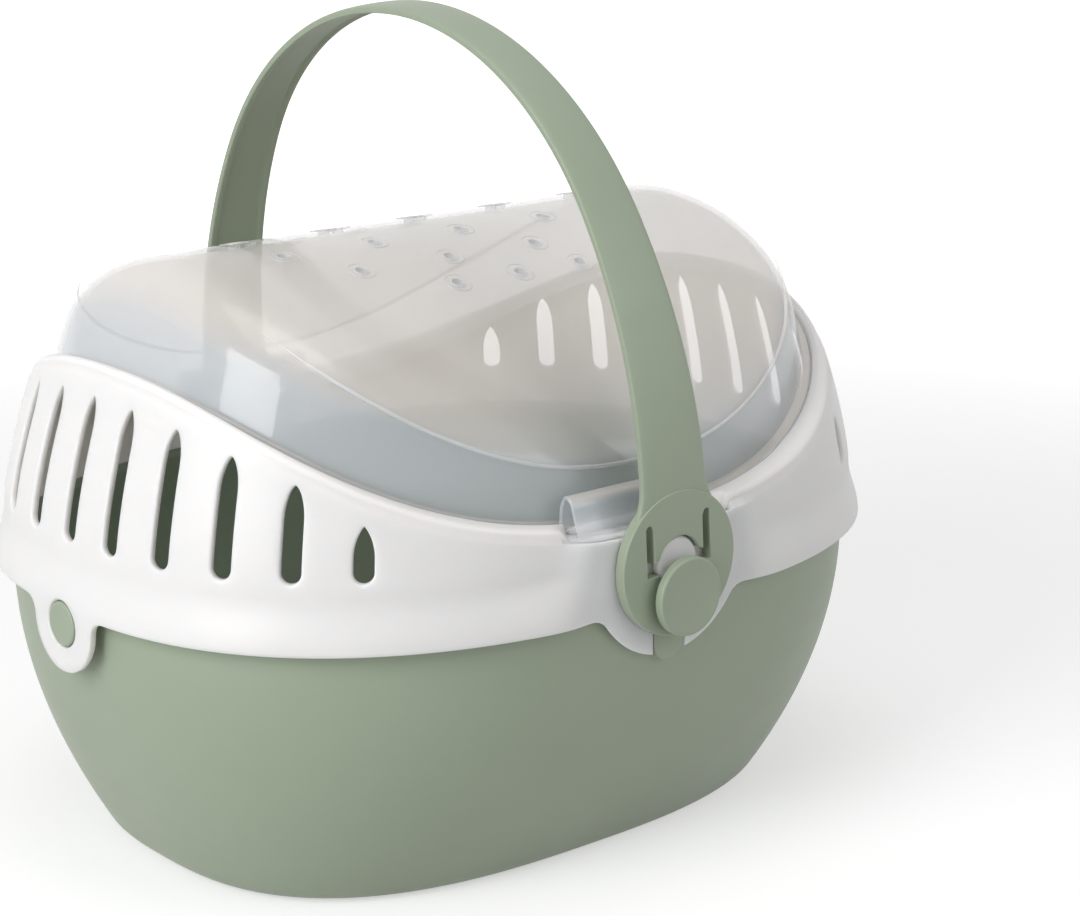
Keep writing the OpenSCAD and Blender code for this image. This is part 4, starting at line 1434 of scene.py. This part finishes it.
def build_studs():
    """Studs in the end tabs, with a shallow dished face, and a flange behind the tub's wall."""
    h = handle()
    flange = tub().rim_half_l - STUD_FLANGE_IN
    high, rim = h.stud_front - flange, h.stud_r + STUD_FLANGE_OUT
    for side, node, body in ((-1, "left_stud", "left_snap"), (1, "right_stud", "right_snap")):
        profile = [(0, 0), (rim, 0), (rim, STUD_FLANGE_T), (h.stud_r, STUD_FLANGE_T)]
        profile += [p for p in soft_rod(h.stud_r, 0, high, 0.9 * MM)[:-1] if p[1] > STUD_FLANGE_T + 0.1 * MM]
        profile += [(h.stud_r - 1.8 * MM, high - 0.1 * MM), (3 * MM, high - 0.35 * MM), (0, high - 0.4 * MM)]
        turn = Matrix.Rotation(math.radians(90 * side), 4, "Y")
        matrix = Matrix.Translation((side * flange, 0, collar().tab_z)) @ turn
        verts, faces = placed(lathe(profile), matrix)
        keep(mesh_object(f"{node}_turned", verts, faces, green_plastic(), 35), body, "green_plastic", node)


# Stage

FLOOR_HALF = 30
FLOOR_LIFT = 0.5
FLOOR_NEAR, FLOOR_FAR = 0.4, 1.2
WORLD_LIGHT = 0.32
CAMERA_PLACE = (-0.5696, -0.7235, 0.3737)
CAMERA_DOWN, CAMERA_TURN = 15.52, -40.43
LENS, FILM_WIDTH = 92.14, 36
# Name, place, target, size and power of each lamp
LAMPS = (
    ("key", (-1.2, -0.22, 0.67), (-0.1, -0.08, 0.16), (0.62, 0.95), 12.4),
    ("top", (-0.1, -0.1, 1.4), (0, 0, 0.1), (0.9, 0.9), 4),
    ("fill", (0.6, -1.2, 0.7), (0, 0, 0.1), (0.9, 0.7), 3.6),
)


def floor_material():
    """A pale floor that keeps the shadows and fades to white where the camera looks straight at it."""
    material, nodes, links, shader = new_material("floor")
    place = nodes.new("ShaderNodeTexCoord").outputs["Object"]
    floor = tuple(palette().floor)
    tint = blend(nodes, links, noise(nodes, links, place, 3, 3), [0.985 * c for c in floor], floor)
    links.new(tint, shader.inputs["Base Color"])
    settle(shader, Roughness=0.9, Specular_IOR_Level=0.1, Emission_Color=(1, 1, 1, 1))
    away = nodes.new("ShaderNodeVectorMath")
    away.operation = "LENGTH"
    links.new(place, away.inputs[0])
    lift = nodes.new("ShaderNodeMapRange")
    lift.interpolation_type = "SMOOTHSTEP"
    lift.inputs["From Min"].default_value = FLOOR_NEAR
    lift.inputs["From Max"].default_value = FLOOR_FAR
    lift.inputs["To Min"].default_value = FLOOR_LIFT
    lift.inputs["To Max"].default_value = 1.0
    links.new(away.outputs["Value"], lift.inputs["Value"])
    glow = combined(nodes, links, "MULTIPLY", lift.outputs["Result"], seen_directly(nodes, links, 1))
    links.new(glow, shader.inputs["Emission Strength"])
    return material


def seen_directly(nodes, links, amount):
    """The amount where the camera sees the surface, straight or through gloss or clear plastic."""
    path = nodes.new("ShaderNodeLightPath").outputs
    near = combined(nodes, links, "MAXIMUM", path["Is Camera Ray"], path["Is Glossy Ray"])
    seen = combined(nodes, links, "MAXIMUM", near, path["Is Transmission Ray"])
    return combined(nodes, links, "MULTIPLY", seen, amount)


def area_light(name, place, target, size, power):
    """A rectangular lamp that faces its target."""
    data = bpy.data.lights.new(name, "AREA")
    data.shape = "RECTANGLE"
    data.size, data.size_y = size
    data.energy = power
    light = bpy.data.objects.new(name, data)
    light.location = place
    light.rotation_euler = (Vector(target) - Vector(place)).to_track_quat("-Z", "Y").to_euler()
    bpy.context.scene.collection.objects.link(light)


def build_stage():
    """Floor, lights, surroundings and the camera at the photograph's view."""
    scene = bpy.context.scene
    scene.view_settings.view_transform = "Standard"
    corners = [(x * FLOOR_HALF, y * FLOOR_HALF, 0) for x, y in ((-1, -1), (1, -1), (1, 1), (-1, 1))]
    floor = mesh_object("floor", corners, [(0, 1, 2, 3)], floor_material())
    world = bpy.data.worlds.new("surroundings")
    world.use_nodes = True
    nodes, links = world.node_tree.nodes, world.node_tree.links
    background = nodes["Background"]
    background.inputs["Color"].default_value = (1, 1, 1, 1)
    lift = combined(nodes, links, "ADD", seen_directly(nodes, links, 1 - WORLD_LIGHT), WORLD_LIGHT)
    links.new(lift, background.inputs["Strength"])
    scene.world = world
    for lamp in LAMPS:
        area_light(*lamp)
    camera = bpy.data.cameras.new("camera")
    camera.sensor_width = FILM_WIDTH
    camera.sensor_fit = "HORIZONTAL"
    camera.lens = LENS
    view = bpy.data.objects.new("camera", camera)
    view.location = CAMERA_PLACE
    view.rotation_euler = (math.radians(90 - CAMERA_DOWN), 0, math.radians(CAMERA_TURN))
    scene.collection.objects.link(view)
    scene.camera = view


# Operators, panel and registration


class CARRIER_OT_tub(bpy.types.Operator):
    """Build the tub with its two upright ribs"""

    bl_idname = "carrier.tub"
    bl_label = "Tub"

    def execute(self, context):
        build_tub()
        return {"FINISHED"}


class CARRIER_OT_collar(bpy.types.Operator):
    """Build the slotted collar with its pads, tabs and tongues"""

    bl_idname = "carrier.collar"
    bl_label = "Collar"

    def execute(self, context):
        build_collar()
        return {"FINISHED"}


class CARRIER_OT_lid(bpy.types.Operator):
    """Build the clear lid with its air holes and latch flaps"""

    bl_idname = "carrier.lid"
    bl_label = "Lid"

    def execute(self, context):
        build_lid()
        return {"FINISHED"}


class CARRIER_OT_handle(bpy.types.Operator):
    """Build the strap handle with its two end discs"""

    bl_idname = "carrier.handle"
    bl_label = "Handle"

    def execute(self, context):
        build_handle()
        return {"FINISHED"}


class CARRIER_OT_hubs(bpy.types.Operator):
    """Build the two white hubs"""

    bl_idname = "carrier.hubs"
    bl_label = "Hubs"

    def execute(self, context):
        build_hubs()
        return {"FINISHED"}


class CARRIER_OT_buttons(bpy.types.Operator):
    """Build the two push buttons"""

    bl_idname = "carrier.buttons"
    bl_label = "Buttons"

    def execute(self, context):
        build_buttons()
        return {"FINISHED"}


class CARRIER_OT_studs(bpy.types.Operator):
    """Build the two end studs"""

    bl_idname = "carrier.studs"
    bl_label = "Studs"

    def execute(self, context):
        build_studs()
        return {"FINISHED"}


class CARRIER_OT_stage(bpy.types.Operator):
    """Build the floor, the lights and the camera"""

    bl_idname = "carrier.stage"
    bl_label = "Stage"

    def execute(self, context):
        build_stage()
        return {"FINISHED"}


class CARRIER_PT_pieces(bpy.types.Panel):
    """Lists the pieces and the colours"""

    bl_idname = "CARRIER_PT_pieces"
    bl_label = "Carrier"
    bl_space_type = "VIEW_3D"
    bl_region_type = "UI"
    bl_category = "Carrier"

    def draw(self, context):
        for operator in OPERATORS:
            self.layout.operator(operator.bl_idname)
        for group in GROUPS:
            sizes = getattr(context.scene, group)
            box = self.layout.box()
            for name in sizes.bl_rna.properties.keys():
                if name not in ("rna_type", "name"):
                    box.prop(sizes, name)


GROUPS = {
    "carrier_tub": TubSizes,
    "carrier_collar": CollarSizes,
    "carrier_lid": LidSizes,
    "carrier_handle": HandleSizes,
    "carrier_colours": CarrierColours,
}
OPERATORS = (CARRIER_OT_tub, CARRIER_OT_collar, CARRIER_OT_lid, CARRIER_OT_handle, CARRIER_OT_hubs,
             CARRIER_OT_buttons, CARRIER_OT_studs, CARRIER_OT_stage)


def register():
    for group, kind in GROUPS.items():
        bpy.utils.register_class(kind)
        setattr(bpy.types.Scene, group, PointerProperty(type=kind))
    for kind in (*OPERATORS, CARRIER_PT_pieces):
        bpy.utils.register_class(kind)


def unregister():
    for kind in reversed((*OPERATORS, CARRIER_PT_pieces)):
        bpy.utils.unregister_class(kind)
    for group, kind in reversed(GROUPS.items()):
        delattr(bpy.types.Scene, group)
        bpy.utils.unregister_class(kind)


def main():
    register()
    bpy.ops.carrier.stage()
    bpy.ops.carrier.tub()
    bpy.ops.carrier.collar()
    bpy.ops.carrier.lid()
    bpy.ops.carrier.handle()
    bpy.ops.carrier.hubs()
    bpy.ops.carrier.buttons()
    bpy.ops.carrier.studs()


if __name__ == "__main__":
    main()
